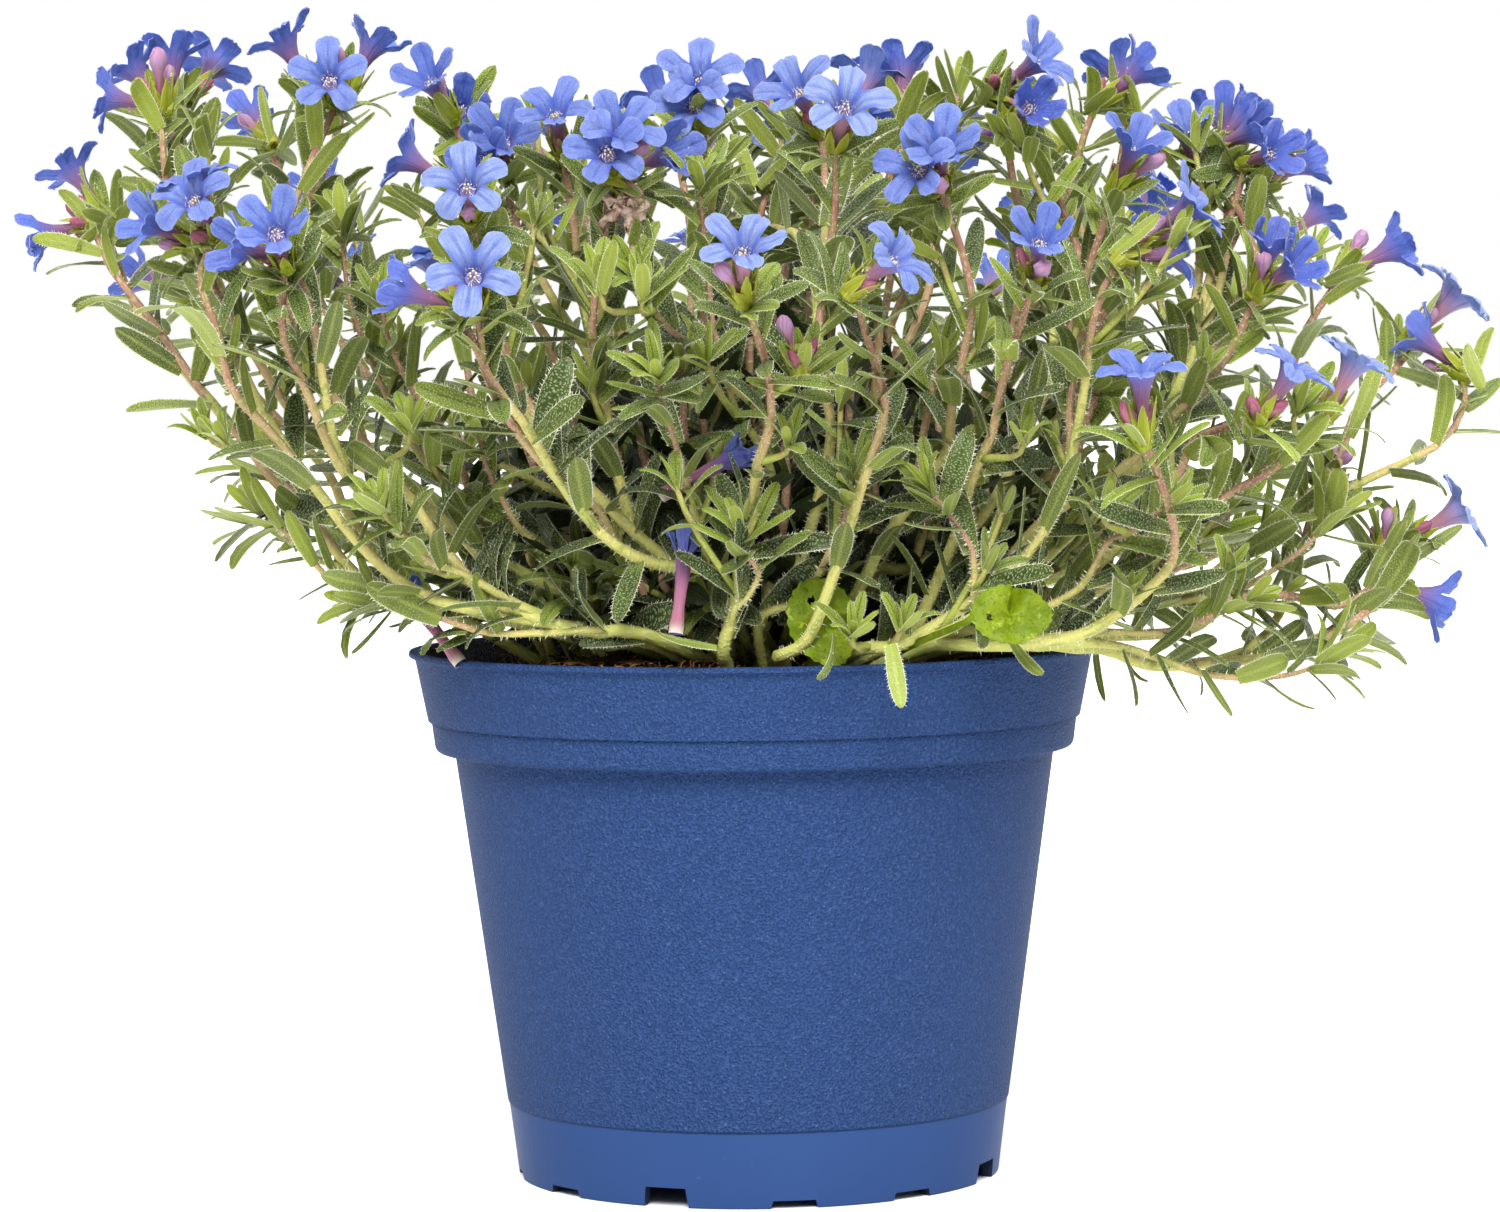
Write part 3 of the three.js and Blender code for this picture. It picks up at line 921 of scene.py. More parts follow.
# The ways of shoots that end in leaves
leafyRoutes = [
    [(14, -14, 90), (48, -34, 96), (58, -33, 98), (69, -33, 100), (81, -32, 102), (90, -30, 107),
     (94, -29, 110), (98, -28, 114)],
    [(16, -20, 90), (47, -44, 95), (58, -44, 96), (68, -45, 96), (77, -45, 99), (82, -46, 101)],
    [(18, -22, 90), (51, -46, 94), (59, -46, 94), (66, -45, 92), (74, -44, 89), (83, -43, 88),
     (91, -42, 89), (97, -41, 92)],
    [(12, -22, 90), (37, -46, 97), (47, -47, 100), (54, -50, 104), (58, -52, 111), (62, -55, 113),
     (67, -58, 117)],
    [(2, -14, 92), (3, -30, 123), (2, -34, 132), (-4, -40, 138), (-10, -46, 144), (-15, -54, 149),
     (-18, -62, 155)],
    [(0, -24, 91), (-4, -42, 102), (-8, -45, 111), (-10, -49, 119), (-12, -54, 127), (-14, -60, 134),
     (-15, -66, 139)],
    [(2, -16, 92), (4, -32, 118), (1, -34, 128), (-2, -36, 132), (-4, -39, 139), (-6, -43, 147),
     (-7, -46, 158), (-8, -50, 170)],
    [(2, -36, 88), (1, -46, 99), (8, -48, 102), (12, -51, 109), (15, -54, 116), (17, -58, 122)],
    [(-4, -12, 92), (-28, -26, 108), (-35, -27, 111), (-45, -28, 117), (-54, -29, 124), (-60, -30, 134),
     (-65, -31, 146), (-67, -33, 153), (-68, -34, 165)],
    [(-2, -14, 92), (-26, -28, 115), (-37, -30, 122), (-48, -33, 128), (-54, -36, 134), (-59, -40, 143),
     (-61, -44, 152)],
    [(-6, -18, 92), (-26, -34, 107), (-34, -35, 110), (-38, -37, 113), (-41, -39, 118), (-44, -41, 125),
     (-45, -44, 130)],
    [(-8, -28, 89), (-22, -46, 97), (-33, -45, 97), (-44, -43, 97), (-54, -41, 100), (-64, -36, 102)],
    [(-8, -26, 89), (-35, -44, 100), (-48, -45, 107), (-53, -47, 109), (-57, -50, 114), (-60, -52, 117)],
    [(-10, -22, 89), (-50, -38, 101), (-59, -37, 103), (-66, -35, 104), (-71, -33, 106), (-75, -31, 110),
     (-78, -29, 113), (-83, -26, 117)],
    [(14, -42, 89), (35, -56, 99), (36, -57, 103), (36, -58, 108), (35, -59, 112), (29, -62, 120)],
    [(-4, -50, 96), (-3, -54, 101), (-1, -55, 103), (1, -56, 107), (-1, -58, 110), (-2, -60, 114)],
]

# Bright young tufts: place, direction round and up, and the length of their leaves
youngTufts = [
    (-60, -56, 118, -110, 60, 10),
    (-88, -34, 129, -130, 60, 8),
    (-24, -68, 153, -95, 72, 12),
    (-17, -68, 152, -60, 70, 10),
    (16, -61, 97, -75, 50, 9),
    (24, -60, 98, -60, 55, 8),
    (57, -58, 116, -80, 75, 10),
    (61, -58, 103, -70, 50, 7),
    (-56, -50, 131, -100, 75, 10),
    (-92, -24, 130, -140, 60, 8),
    (90, -44, 132, -60, 50, 11),
    (44, -64, 128, -80, 60, 8),
    (6, -66, 128, -90, 60, 8),
    (78, -48, 106, -60, 40, 8),
]


def bezier(points, count):
    a, b, c, d = points
    route = []
    for i in range(count):
        t = i / (count - 1)
        s = 1 - t
        route.append(s ** 3 * a + 3 * s * s * t * b + 3 * s * t * t * c + t ** 3 * d)
    return route


# A smooth way through given points
def through(points, count):
    points = [Vector(p) for p in points]
    padded = [2 * points[0] - points[1], *points, 2 * points[-1] - points[-2]]
    route = []
    for i in range(count):
        s = i / (count - 1) * (len(points) - 1)
        k = min(int(s), len(points) - 2)
        t = s - k
        p, q, r, w = padded[k:k + 4]
        route.append(0.5 * (
            2 * q + (r - p) * t + (2 * p - 5 * q + 4 * r - w) * t * t + (3 * q - p - 3 * r + w) * t ** 3
        ))
    return route


# Lets a route wander between its ends.
def waver(route, seed, amount):
    shift = Vector((seed * 7.3, seed * 3.1, 0))
    last = len(route) - 1
    for i, point in enumerate(route):
        hold = math.sin(math.pi * i / last)
        push = noise.noise_vector(point * 0.045 + shift)
        route[i] = point + push * amount * 2 * hold
    return route


def outwards(place):
    return Vector((place.x, place.y, 0)).normalized()


# A row of a table as the flower's place, the way it looks, its tone, and its open flowers and buds
def headOf(x, y, z, turn, rise, tone, opens, buds):
    return Vector((x, y, z)), direction(turn, rise), tone, opens, buds


def stemTip(head):
    place, look = head[:2]
    return place - look * shootForm["tube"]


# From the soil, over the lip, and up to the flower
def shootRoute(head, seed):
    place, look = head[:2]
    out = outwards(place)
    rng = random.Random(seed)
    swing = Matrix.Rotation(math.radians(rng.uniform(-1, 1) * shootForm["swing"]), 3, "Z")
    near, far = shootForm["baseCircle"]
    radius = near + (far - near) * min(math.hypot(place.x, place.y) / shootForm["widestReach"], 1)
    start = swing @ out * radius * rng.uniform(0.5, 1.1)
    start.z = soilHeight(start.x, start.y) - 1.5
    tip = stemTip(head)
    run = tip - start
    level = math.hypot(run.x, run.y)
    low = start + (out + outwards(run)) * 0.5 * shootForm["levelShare"] * level
    low.z += shootForm["rise"][0] + shootForm["rise"][1] * run.z
    rising = (up * 1.1 + out * 0.35 + look * 0.35).normalized()
    high = tip - rising * shootForm["bendShare"] * max(run.z, 18)
    count = max(6, int(run.length * 1.12 / shootForm["step"]))
    return waver(bezier((start, low, high, tip), count), seed, shootForm["waver"])


# From the place on a shoot that is nearest to a twig's length away
def twigRoute(parent, head, seed):
    tip, look = stemTip(head), head[1]
    starts = [int(share * (len(parent) - 1)) for share in shootForm["twigStarts"]]
    i = min(starts, key=lambda k: abs((parent[k] - tip).length - shootForm["twigLength"]))
    start = parent[i]
    ahead = (parent[i + 1] - parent[i - 1]).normalized()
    gap = (tip - start).length
    high = tip - (look * 0.5 + up * 0.8).normalized() * 0.35 * gap
    return waver(bezier((start, start + ahead * 0.4 * gap, high, tip), max(5, int(gap / 5))), seed, 1.0)


# Leaves

leafForm = {
    "length": (11.0, 16.5),
    "drawnLength": 16,  # the length of the shapes that are copied
    "halfWidth": 2.22,
    "thickness": 0.56,
    "stations": (0, 0.15, 0.38, 0.62, 0.82, 0.94, 1),
    "widths": (0.66, 0.82, 0.98, 1.0, 0.84, 0.56, 0.16),
    "bends": (-12, 8, 26, 44, 64, 88),
    "spread": (34, 76),
    "spacing": (3.2, 9.0),  # between leaves near the flower and lower down
    "bristles": (19, 6),  # along each edge and along the middle
    "bristle": 0.74,
    # Deeper tones are painted near black as the shade deep in the plant
    "darkest": 0.86,  # the deepest tone of a leaf with bristles
    "lowest": 81.5,
    "front": -20,  # what stands further forward is in front
    "clearFront": 64,  # half of the width over which no leaf hangs in front of the pot
}


# The frames of a leaf along X, bent and twisted on the way
def leafFrames(stations, widths, thick, length, bend, twist):
    frames = []
    spine = Matrix()
    for i, t in enumerate(stations):
        frames.append(spine @ Matrix.Diagonal((1, widths[i], thick * (1.2 - 0.5 * t), 1)))
        if i + 1 < len(stations):
            step = stations[i + 1] - t
            curl = math.radians(bend) * step * (0.35 + 1.3 * t)
            ahead = Matrix.Translation((length * step, 0, 0))
            spine = spine @ ahead @ Matrix.Rotation(curl, 4, "Y") @ Matrix.Rotation(twist * step, 4, "X")
    return frames


# A narrow leaf with its upper side to Z: two crests beside the groove, thin edges and a curved tip.
def leafShapes(bend, rng):
    bm, _, across = newShape()
    fold = rng.uniform(-0.8, 1.5)
    edge = fold - 0.35
    crest = 0.36 + 0.45 * fold
    section = ((0, 0.0, 1.0), (0.55, crest, 0.8), (1, edge, 0.5))
    section += ((0, -0.5, 0.0), (-1, edge, 0.5), (-0.55, crest, 0.8))
    ring = []
    for y, z, mark in section:
        vert = bm.verts.new((0, y, z))
        vert[across] = mark
        ring.append(vert)
    for i, vert in enumerate(ring):
        bm.edges.new((ring[i - 1], vert))
    widths = [leafForm["halfWidth"] * w for w in leafForm["widths"]]
    twist = math.radians(rng.uniform(-25, 25))
    size = (leafForm["thickness"], leafForm["drawnLength"])
    frames = leafFrames(leafForm["stations"], widths, *size, bend, twist)
    pullThrough(bm, ring, frames, leafForm["stations"])
    return closedShape(bm), bristleShape(frames, edge, rng)


# Fine stiff hairs on the edges and on the upper side of a leaf
def bristleShape(frames, edge, rng):
    bm = newShape()[0]
    stations = leafForm["stations"]
    for side in (-1, 1, 0):
        count = leafForm["bristles"][0 if side else 1]
        for k in range(count):
            t = (k + rng.uniform(0.1, 0.9)) / count * 0.97
            i = max(j for j in range(len(stations) - 1) if stations[j] <= t)
            blend = frames[i].lerp(frames[i + 1], (t - stations[i]) / (stations[i + 1] - stations[i]))
            turn = blend.to_3x3()
            if side:
                root = blend @ Vector((0, side * 0.98, edge))
                aim = (turn @ Vector((0, side * 0.4, 0.2))).normalized()
            else:
                root = blend @ Vector((0, rng.uniform(-0.7, 0.7), 0.3))
                aim = (turn @ Vector((0, rng.uniform(-0.1, 0.1), 1.0))).normalized()
            ahead = (turn @ Vector((1, 0, 0))).normalized()
            aim = (aim + ahead * rng.uniform(0.3, 0.9)).normalized()
            tip = root + aim * leafForm["bristle"] * rng.uniform(0.7, 1.15)
            addHair(bm, root, tip, ahead * 0.06)
    return Shape(bm)


def addHair(bm, root, tip, half):
    along, across = bm.verts.layers.float["along"], bm.verts.layers.float["across"]
    corners = [bm.verts.new(root - half), bm.verts.new(root + half), bm.verts.new(tip)]
    for corner in corners:
        corner[across] = 0.5
    corners[2][along] = 1
    bm.faces.new(corners)


# Whether points stay off the soil, the wall of the pot and the seedling leaves
def clearOfPot(points):
    for spot, *_ in seedling["leaves"]:
        if np.linalg.norm(points - spot, axis=1).min() < seedling["radius"]:
            return False
    reach = np.hypot(points[:, 0], points[:, 1])
    low = points[:, 2] < pot["height"] + 0.3
    inside = (reach < soil["inside"]) & (points[:, 2] > soil["top"] + 0.5)
    return not np.any(low & (reach < pot["rim"] + 0.5) & ~inside)


# Whether points hang lower than the leaves in the photo do
def hangsLow(points):
    front = (points[:, 1] < leafForm["front"]) & (np.abs(points[:, 0]) < leafForm["clearFront"])
    return points[:, 2].min() < leafForm["lowest"] or np.any(front & (points[:, 2] < pot["height"] + 1))


# Puts a leaf with its bristles where it leaves a stem, unless it would touch the pot.
def addLeaf(at, ahead, side, spread, length, tone, plant, rng, narrow=1.0):
    aim = (ahead * math.cos(spread) + side * math.sin(spread)).normalized()
    aim = (aim + up * rng.uniform(-0.05, 0.16)).normalized()
    top = squared((ahead * math.sin(spread) - side * math.cos(spread)).normalized(), aim)
    top = (top + up * rng.uniform(0.0, 1.0) + outwards(at) * rng.uniform(-0.5, 1.3)).normalized()
    top = squared(top, aim)
    turn = Matrix((aim, top.cross(aim), top)).transposed()
    turn = turn @ Matrix.Rotation(rng.uniform(-0.35, 0.35), 3, "X")
    scale = length / leafForm["drawnLength"]
    size = Matrix.Diagonal((scale, scale * narrow * rng.uniform(0.85, 1.15), scale * 0.95))
    place = Matrix.Translation(at) @ (turn @ size).to_4x4()
    leaf, bristles = rng.choice(plant["leafShapes"])
    points = leaf.placed(place)
    if not clearOfPot(points) or (hangsLow(points) and not plant["hanging"]):
        return
    # Leaves with bristles stop short of the tones painted near black as shade
    if not plant["bare"]:
        tone = min(tone, leafForm["darkest"])
        plant["bristles"].add(bristles, place, tone)
    plant["leaves"][plant["part"]].add(leaf, place, tone)


# A spiral of leaves along a route, from a share of its length to its tip
def clothe(route, radii, plant, rng, first, tones, dense=1.0, longest=1.0):
    least, most = leafForm["spread"]
    shortest, greatest = leafForm["length"]
    close, wide = leafForm["spacing"]
    lengths = [(b - a).length for a, b in zip(route, route[1:])]
    total = sum(lengths)
    place = total * first
    turn = rng.uniform(0, 6)
    while place < total - 0.8:
        walked = 0
        for i, length in enumerate(lengths):
            if walked + length >= place:
                break
            walked += length
        at = route[i].lerp(route[i + 1], (place - walked) / length)
        ahead = (route[i + 1] - route[i]).normalized()
        side = sideways(ahead, turn)
        share = place / total
        spread = math.radians(rng.uniform(least, most) * (1.05 - 0.25 * share))
        size = rng.uniform(shortest, greatest) * longest * (0.85 if share > 0.86 else 1)
        tone = tones[0] + (tones[1] - tones[0]) * share ** 1.5 + rng.uniform(-0.2, 0.2)
        addLeaf(at + side * radii[i] * 0.6, ahead, side, spread, size, tone, plant, rng)
        if share < 0.8 and rng.random() < plant["twigChance"]:
            addTwig(at, ahead, side, plant, rng)
        turn += golden + rng.uniform(-0.3, 0.3)
        place += (wide + (close - wide) * share) * rng.uniform(0.75, 1.25) / dense


twigForm = {
    "lengths": (3, 4, 6, 9, 14, 20),
    "radii": (0.75, 0.5),
    "tone": 0.62,
    "overSoil": (63, 96),  # within this radius a twig ends above this height
    "leafy": 8,  # longer twigs carry leaves all the way
    "leafTones": (0.45, 0.3),
}


# A short young twig in a leaf's armpit, with a tuft of bright narrow leaves
def addTwig(at, ahead, side, plant, rng):
    length = rng.choice(twigForm["lengths"])
    aim = (ahead * 0.9 + side * 0.8 + up * 0.25).normalized()
    tip = at + aim * length + up * 0.12 * length
    within, lowest = twigForm["overSoil"]
    if tip.z < lowest and math.hypot(tip.x, tip.y) < within:
        return
    count = max(3, int(length / 4))
    bend = tip - (aim + up).normalized() * length * 0.3
    route = bezier((at, at + aim * length * 0.4, bend, tip), count)
    if tip.y < leafForm["front"] and min(point.z for point in route) < pot["height"] + 4:
        return
    radii = taper(*twigForm["radii"], count)
    plant["stems"].add(tubeShape(route, radii, 5), Matrix(), twigForm["tone"])
    if length > twigForm["leafy"]:
        clothe(route, radii, dict(plant, twigChance=0), rng, 0.25, twigForm["leafTones"], 1.3, 0.72)
    finish = (route[-1] - route[-2]).normalized()
    tuft(tip, finish, plant, rng, rng.randint(4, 6), rng.uniform(5.5, 9.5), rng.uniform(0.02, 0.25))


def tuft(tip, ahead, plant, rng, count, size, tone):
    turn = rng.uniform(0, 6)
    for i in range(count):
        side = sideways(ahead, turn + golden * i)
        share = i / count
        spread = math.radians(38 - 30 * share + rng.uniform(-8, 8))
        at = tip + ahead * (0.5 * share - 0.6)
        length, shade = size * (1.1 - 0.45 * share), tone + 0.2 * (1 - share)
        addLeaf(at, ahead, side, spread, length, shade, plant, rng, 0.95)


def leafLook():
    look = Look("bristlyLeaf", Roughness=0.45, Specular_IOR_Level=0.27, **thin(0.4))
    along, across, tone = look.mapped()
    top = look.ramp(
        tone,
        (0.0, (0.310, 0.395, 0.020)),
        (0.25, (0.146, 0.200, 0.013)),
        (0.5, (0.051, 0.079, 0.009)),
        (0.8, (0.020, 0.036, 0.007)),
        (1.0, (0.015, 0.026, 0.005)),
    )
    under = look.ramp(
        tone,
        (0.0, (0.38, 0.44, 0.055)),
        (0.45, (0.178, 0.226, 0.040)),
        (0.8, (0.070, 0.096, 0.018)),
        (1.0, (0.07, 0.09, 0.015)),
    )
    above = across.step(0.42, 0.48)
    base = look.mix(above, under, top)
    cloud = look.noise(look.vector(along * 4, across * 3, tone * 60), 1.0, 3, 0.6)
    base = look.mix(cloud.step(0.35, 0.75) * 0.15, base, (0.16, 0.22, 0.02))
    rib = 1 - across.step(0.03, 0.13)
    base = look.mix(rib * 0.3, base, (0.45, 0.49, 0.13))
    groove = 1 - (across - 1).maths("ABSOLUTE").step(0.0, 0.07)
    # The groove down the middle of the upper side is darkened: painted shade in the crease
    base = look.mix(groove * 0.33, base, (0.015, 0.03, 0.005))
    young = 1 - along.step(0.0, 0.3)
    base = look.mix(young * 0.3, base, (0.30, 0.36, 0.04))
    dots = look.dots(look.vector(along * 34 + tone * 50, across * 9, 0), 0.16, 0.44)
    lightness = look.ramp(
        tone,
        (0.0, (0.54, 0.60, 0.24)),
        (0.6, (0.46, 0.52, 0.30)),
        (1.0, (0.42, 0.48, 0.28)),
    )
    base = look.mix(dots * (0.3 + above * 0.12), base, lightness)
    fringe = look.noise(look.vector(along * 60, tone * 40, 0), 1.0, 1).step(0.3, 0.6)
    edge = 1 - (across - 0.5).maths("ABSOLUTE").step(0.015, 0.06)
    base = look.mix(edge * (0.3 + fringe * 0.45), base, (0.84, 0.84, 0.58))
    base = look.mix(along.step(0.95, 1.0) * 0.4, base, (0.25, 0.15, 0.08))
    # Tones from 0.88 up are painted near black: painted shade on the bare leaves deep in the plant
    look.set("Base Color", look.mix(tone.step(0.88, 0.94), base, (0.014, 0.022, 0.004)))
    look.bump(dots - groove, 0.00025, 0.8)
    return look


def bristleLook():
    return Look("whiteBristle", Roughness=0.6, Base_Color=(0.90, 0.89, 0.68, 1), Specular_IOR_Level=0.3)


def sepalLook():
    look = Look("yellowGreenSepal", Roughness=0.5, Specular_IOR_Level=0.2, **thin(0.4))
    along, across, tone = look.mapped()
    base = look.ramp(
        along,
        (0.0, (0.22, 0.27, 0.010)),
        (0.55, (0.27, 0.335, 0.014)),
        (1.0, (0.16, 0.18, 0.025)),
    )
    base = look.mix(tone * 0.6, base, (0.30, 0.26, 0.03))
    middle = across.step(0.85, 1.0) + (1 - across.step(0.2, 0.35))
    base = look.mix(middle.clamped() * 0.4, base, (0.11, 0.15, 0.008))
    edge = 1 - (across - 0.62).maths("ABSOLUTE").step(0.03, 0.09)
    base = look.mix(edge * 0.4, base, (0.50, 0.52, 0.20))
    streak = look.noise(look.vector(along * 3, across * 12, tone * 30), 1.0, 3)
    look.set("Base Color", look.mix(streak.step(0.45, 0.7) * 0.35, base, (0.12, 0.16, 0.01)))
    look.bump(streak, 0.0002, 0.5)
    return look


def stemLook():
    look = Look("hairyStem", Roughness=0.6, Specular_IOR_Level=0.2)
    along, across, tone = look.mapped()
    base = look.ramp(
        along,
        (0.0, (0.39, 0.43, 0.10)),
        (0.5, (0.49, 0.435, 0.14)),
        (0.72, (0.38, 0.22, 0.14)),
        (1.0, (0.27, 0.13, 0.09)),
    )
    base = look.mix(tone.step(0.45, 0.75), base, (0.28, 0.35, 0.04))
    spot = look.vector(along * 22, across * 2.5, tone * 30)
    streak = look.noise(spot, 1.0, 3, 0.6)
    ruddy = streak.step(0.5, 0.68) * along.step(0.3, 0.8)
    base = look.mix(ruddy * 0.65, base, (0.19, 0.09, 0.07))
    height = look.split(look.outward())[2]
    blush = height.step(0.0, 0.75) * streak.step(0.36, 0.56) * along.step(0.1, 0.45)
    base = look.mix(blush * 0.5, base, (0.30, 0.165, 0.10))
    base = look.mix((1 - streak).step(0.5, 0.66) * 0.6, base, (0.19, 0.24, 0.04))
    dots = look.dots(look.vector(along * 90 + tone * 50, across * 5, 0), 0.14, 0.42)
    base = look.mix(dots * 0.3, base, (0.64, 0.60, 0.34))
    look.set("Base Color", base)
    look.bump(dots + streak, 0.0002, 0.5)
    return look


# Flowers

flowerForm = {
    "tube": (
        (0.75, -12.0), (0.9, -9.0), (1.05, -6.6), (1.25, -4.8), (1.55, -3.3), (2.15, -1.8), (3.05, -0.35),
    ),
    "fallenTube": (
        (1.5, -12.6), (1.55, -11.2), (1.15, -9.0), (1.25, -6.0), (1.5, -3.4), (2.1, -1.5), (2.9, -0.2),
    ),
    "tubeMarks": (0, 0.1, 0.2, 0.28, 0.34, 0.42, 0.5),
    "foot": 12,  # from the mouth down to the foot of the tube
    "lobe": (  # reach out from the mouth, half width and mark
        (0.9, 1.88, 0.58),
        (1.95, 2.12, 0.7),
        (2.95, 2.2, 0.82),
        (3.75, 1.8, 0.92),
        (4.3, 0.9, 1.0),
    ),
    "fold": (0.0, 0.26, -0.42),  # lift at the edge, halfway and in the middle of a lobe
    "ruffle": 0.28,
    "petal": 0.13,
    "openings": (12, 22, 34, 46, 60),  # how far the lobes stand up, in degrees
    "sepal": 8.0,
    "sepalRow": ((0, 0.85, 0.4, 0.95), (0.3, 1.12, 0.4, 1.6), (0.7, 0.78, 0.3, 2.05), (1, 0.1, 0.1, 2.5)),
    "sepalMarks": (0.05, 0.35, 0.7, 0.92),
    "closedSepal": (0.78, 0.6, 0.85),  # how much shorter, closer and slimmer round a bud
    "bud": {
        "length": 7.6,
        "radius": 1.25,
        "outline": ((0, 0.5), (0.25, 0.75), (0.5, 0.98), (0.72, 1.0), (0.9, 0.66), (1, 0.12)),
    },
    "balloon": {
        "length": 11.4,
        "radius": 1.6,
        "outline": (
            (0, 0.35), (0.3, 0.42), (0.55, 0.5), (0.66, 0.72),
            (0.76, 1.0), (0.88, 0.98), (0.96, 0.66), (1, 0.15),
        ),
    },
}


# One open flower, facing Z with the mouth of its tube at the origin
def corollaShape(opening, rng, rings=flowerForm["tube"]):
    bm, _, across = newShape()
    ring = bmesh.ops.create_circle(bm, segments=20, radius=rings[0][0])["verts"]
    for vert in ring:
        vert.co.z = rings[0][1]
        lobe = math.degrees(math.atan2(vert.co.y, vert.co.x)) / 72
        vert[across] = abs(lobe - round(lobe))
    edges = list(bm.edges)
    for (r0, z0), (r1, z1), mark in zip(rings, rings[1:], flowerForm["tubeMarks"][1:]):
        widen = Matrix.Translation((0, 0, z1)) @ Matrix.Diagonal((r1 / r0, r1 / r0, 1, 1))
        edges, fresh = pullEdges(bm, edges, widen @ Matrix.Translation((0, 0, -z0)), mark)
    mouth, top = rings[-1]
    for lobe in range(5):
        middle = math.radians(72 * lobe)
        mine = []
        for edge in edges:
            mid = (edge.verts[0].co + edge.verts[1].co) / 2
            if Vector((math.cos(middle), math.sin(middle), 0)).dot(mid) > 0.8 * mid.xy.length:
                mine.append(edge)
        shapeLobe(bm, mine, middle, mouth, top, math.radians(opening + rng.uniform(-11, 11)), rng)
    faces = list(bm.faces)
    bmesh.ops.recalc_face_normals(bm, faces=faces)
    if faces[0].normal.dot(faces[0].calc_center_median() * Vector((1, 1, 0))) < 0:
        bmesh.ops.reverse_faces(bm, faces=faces)
    outside = set(bm.verts)
    bmesh.ops.solidify(bm, geom=faces, thickness=flowerForm["petal"])
    for vert in bm.verts:
        if vert not in outside:
            vert[across] = 1 - vert[across]
    return Shape(bm)


def shapeLobe(bm, edges, middle, mouth, top, rise, rng):
    out = Vector((math.cos(middle), math.sin(middle), 0))
    beside = Vector((-math.sin(middle), math.cos(middle), 0))
    roll = rng.uniform(-0.12, 0.12)
    droop = rng.uniform(0.0, 1.1)
    size = rng.uniform(0.92, 1.08)
    last = len(flowerForm["lobe"]) - 1
    for i, (reach, half, mark) in enumerate(flowerForm["lobe"]):
        edges, fresh = pullEdges(bm, edges, Matrix(), mark)
        angle = rise * (0.75 + 0.5 * min(reach / 3, 1)) - droop * 0.14 * reach
        level, height = reach * size * math.cos(angle), reach * size * math.sin(angle)
        centre = out * (mouth + level) + up * (top + 0.3 + height)
        lift = (up * math.cos(angle) - out * math.sin(angle)).normalized()
        order = sorted(fresh, key=lambda vert: vert.co.dot(beside))
        for k, vert in enumerate(order):
            share = (k - 2) / 2
            fold = flowerForm["fold"][2 - abs(k - 2)] * (1.1 - 0.5 * i / last)
            ruffle = flowerForm["ruffle"] * abs(share) * rng.uniform(-1, 1)
            bulge = 0.2 * (1 - share * share) if i == last else 0
            spot = centre + beside * half * share + out * bulge
            vert.co = spot + lift * (fold + ruffle + roll * share * half)


# Five narrow green sepals round the foot of a tube
def calyxShape(closed, rng):
    bm, _, across = newShape()
    size = flowerForm["sepal"]
    shorter, closer, slimmer = flowerForm["closedSepal"] if closed else (1, 1, 1)
    for k in range(5):
        ring = bmesh.ops.create_circle(bm, segments=4, radius=1)["verts"]
        for vert in ring:
            if abs(vert.co.y) < 0.5:
                vert[across] = 1.0 if vert.co.x < 0 else 0.2
            else:
                vert[across] = 0.62
        spin = Matrix.Rotation(2 * math.pi * (k + rng.uniform(-0.08, 0.08)) / 5, 4, "Z")
        long = size * rng.uniform(0.88, 1.08) * shorter
        frames = []
        for t, half, thick, reach in flowerForm["sepalRow"]:
            place = Matrix.Translation((0.8 + (reach - 0.8) * closer, 0, -13.2 + long * t))
            frames.append(spin @ place @ Matrix.Diagonal((thick, half * slimmer, 1, 1)))
        pullThrough(bm, ring, frames, flowerForm["sepalMarks"])
    smooth = closedShape(bm)
    hairs = newShape()[0]
    for _ in range(26):
        turn = rng.uniform(0, 2 * math.pi)
        t = rng.random()
        out = Vector((math.cos(turn), math.sin(turn), 0))
        root = out * (1.3 + 0.9 * t) + Vector((0, 0, -13 + size * t))
        aim = (out + up * rng.uniform(0.2, 0.9)).normalized()
        addHair(hairs, root, root + aim * rng.uniform(0.5, 0.9), up * 0.05)
    return smooth, Shape(hairs)


# A bud that swells out of its sepals and is twisted shut, with or without a tube below
def budShape(length, radius, outline):
    bm, _, across = newShape()
    ring = markedRing(bm, across, 10)
    for vert in ring[::2]:
        vert.co *= 0.8
    frames = []
    for t, share in outline:
        turn = Matrix.Rotation(1.4 * t, 4, "Z")
        place = Matrix.Translation((0, 0, -flowerForm["foot"] + length * t))
        frames.append(place @ turn @ Matrix.Diagonal((radius * share, radius * share * 0.92, 1, 1)))
    pullThrough(bm, ring, frames, [t for t, share in outline])
    return closedShape(bm)


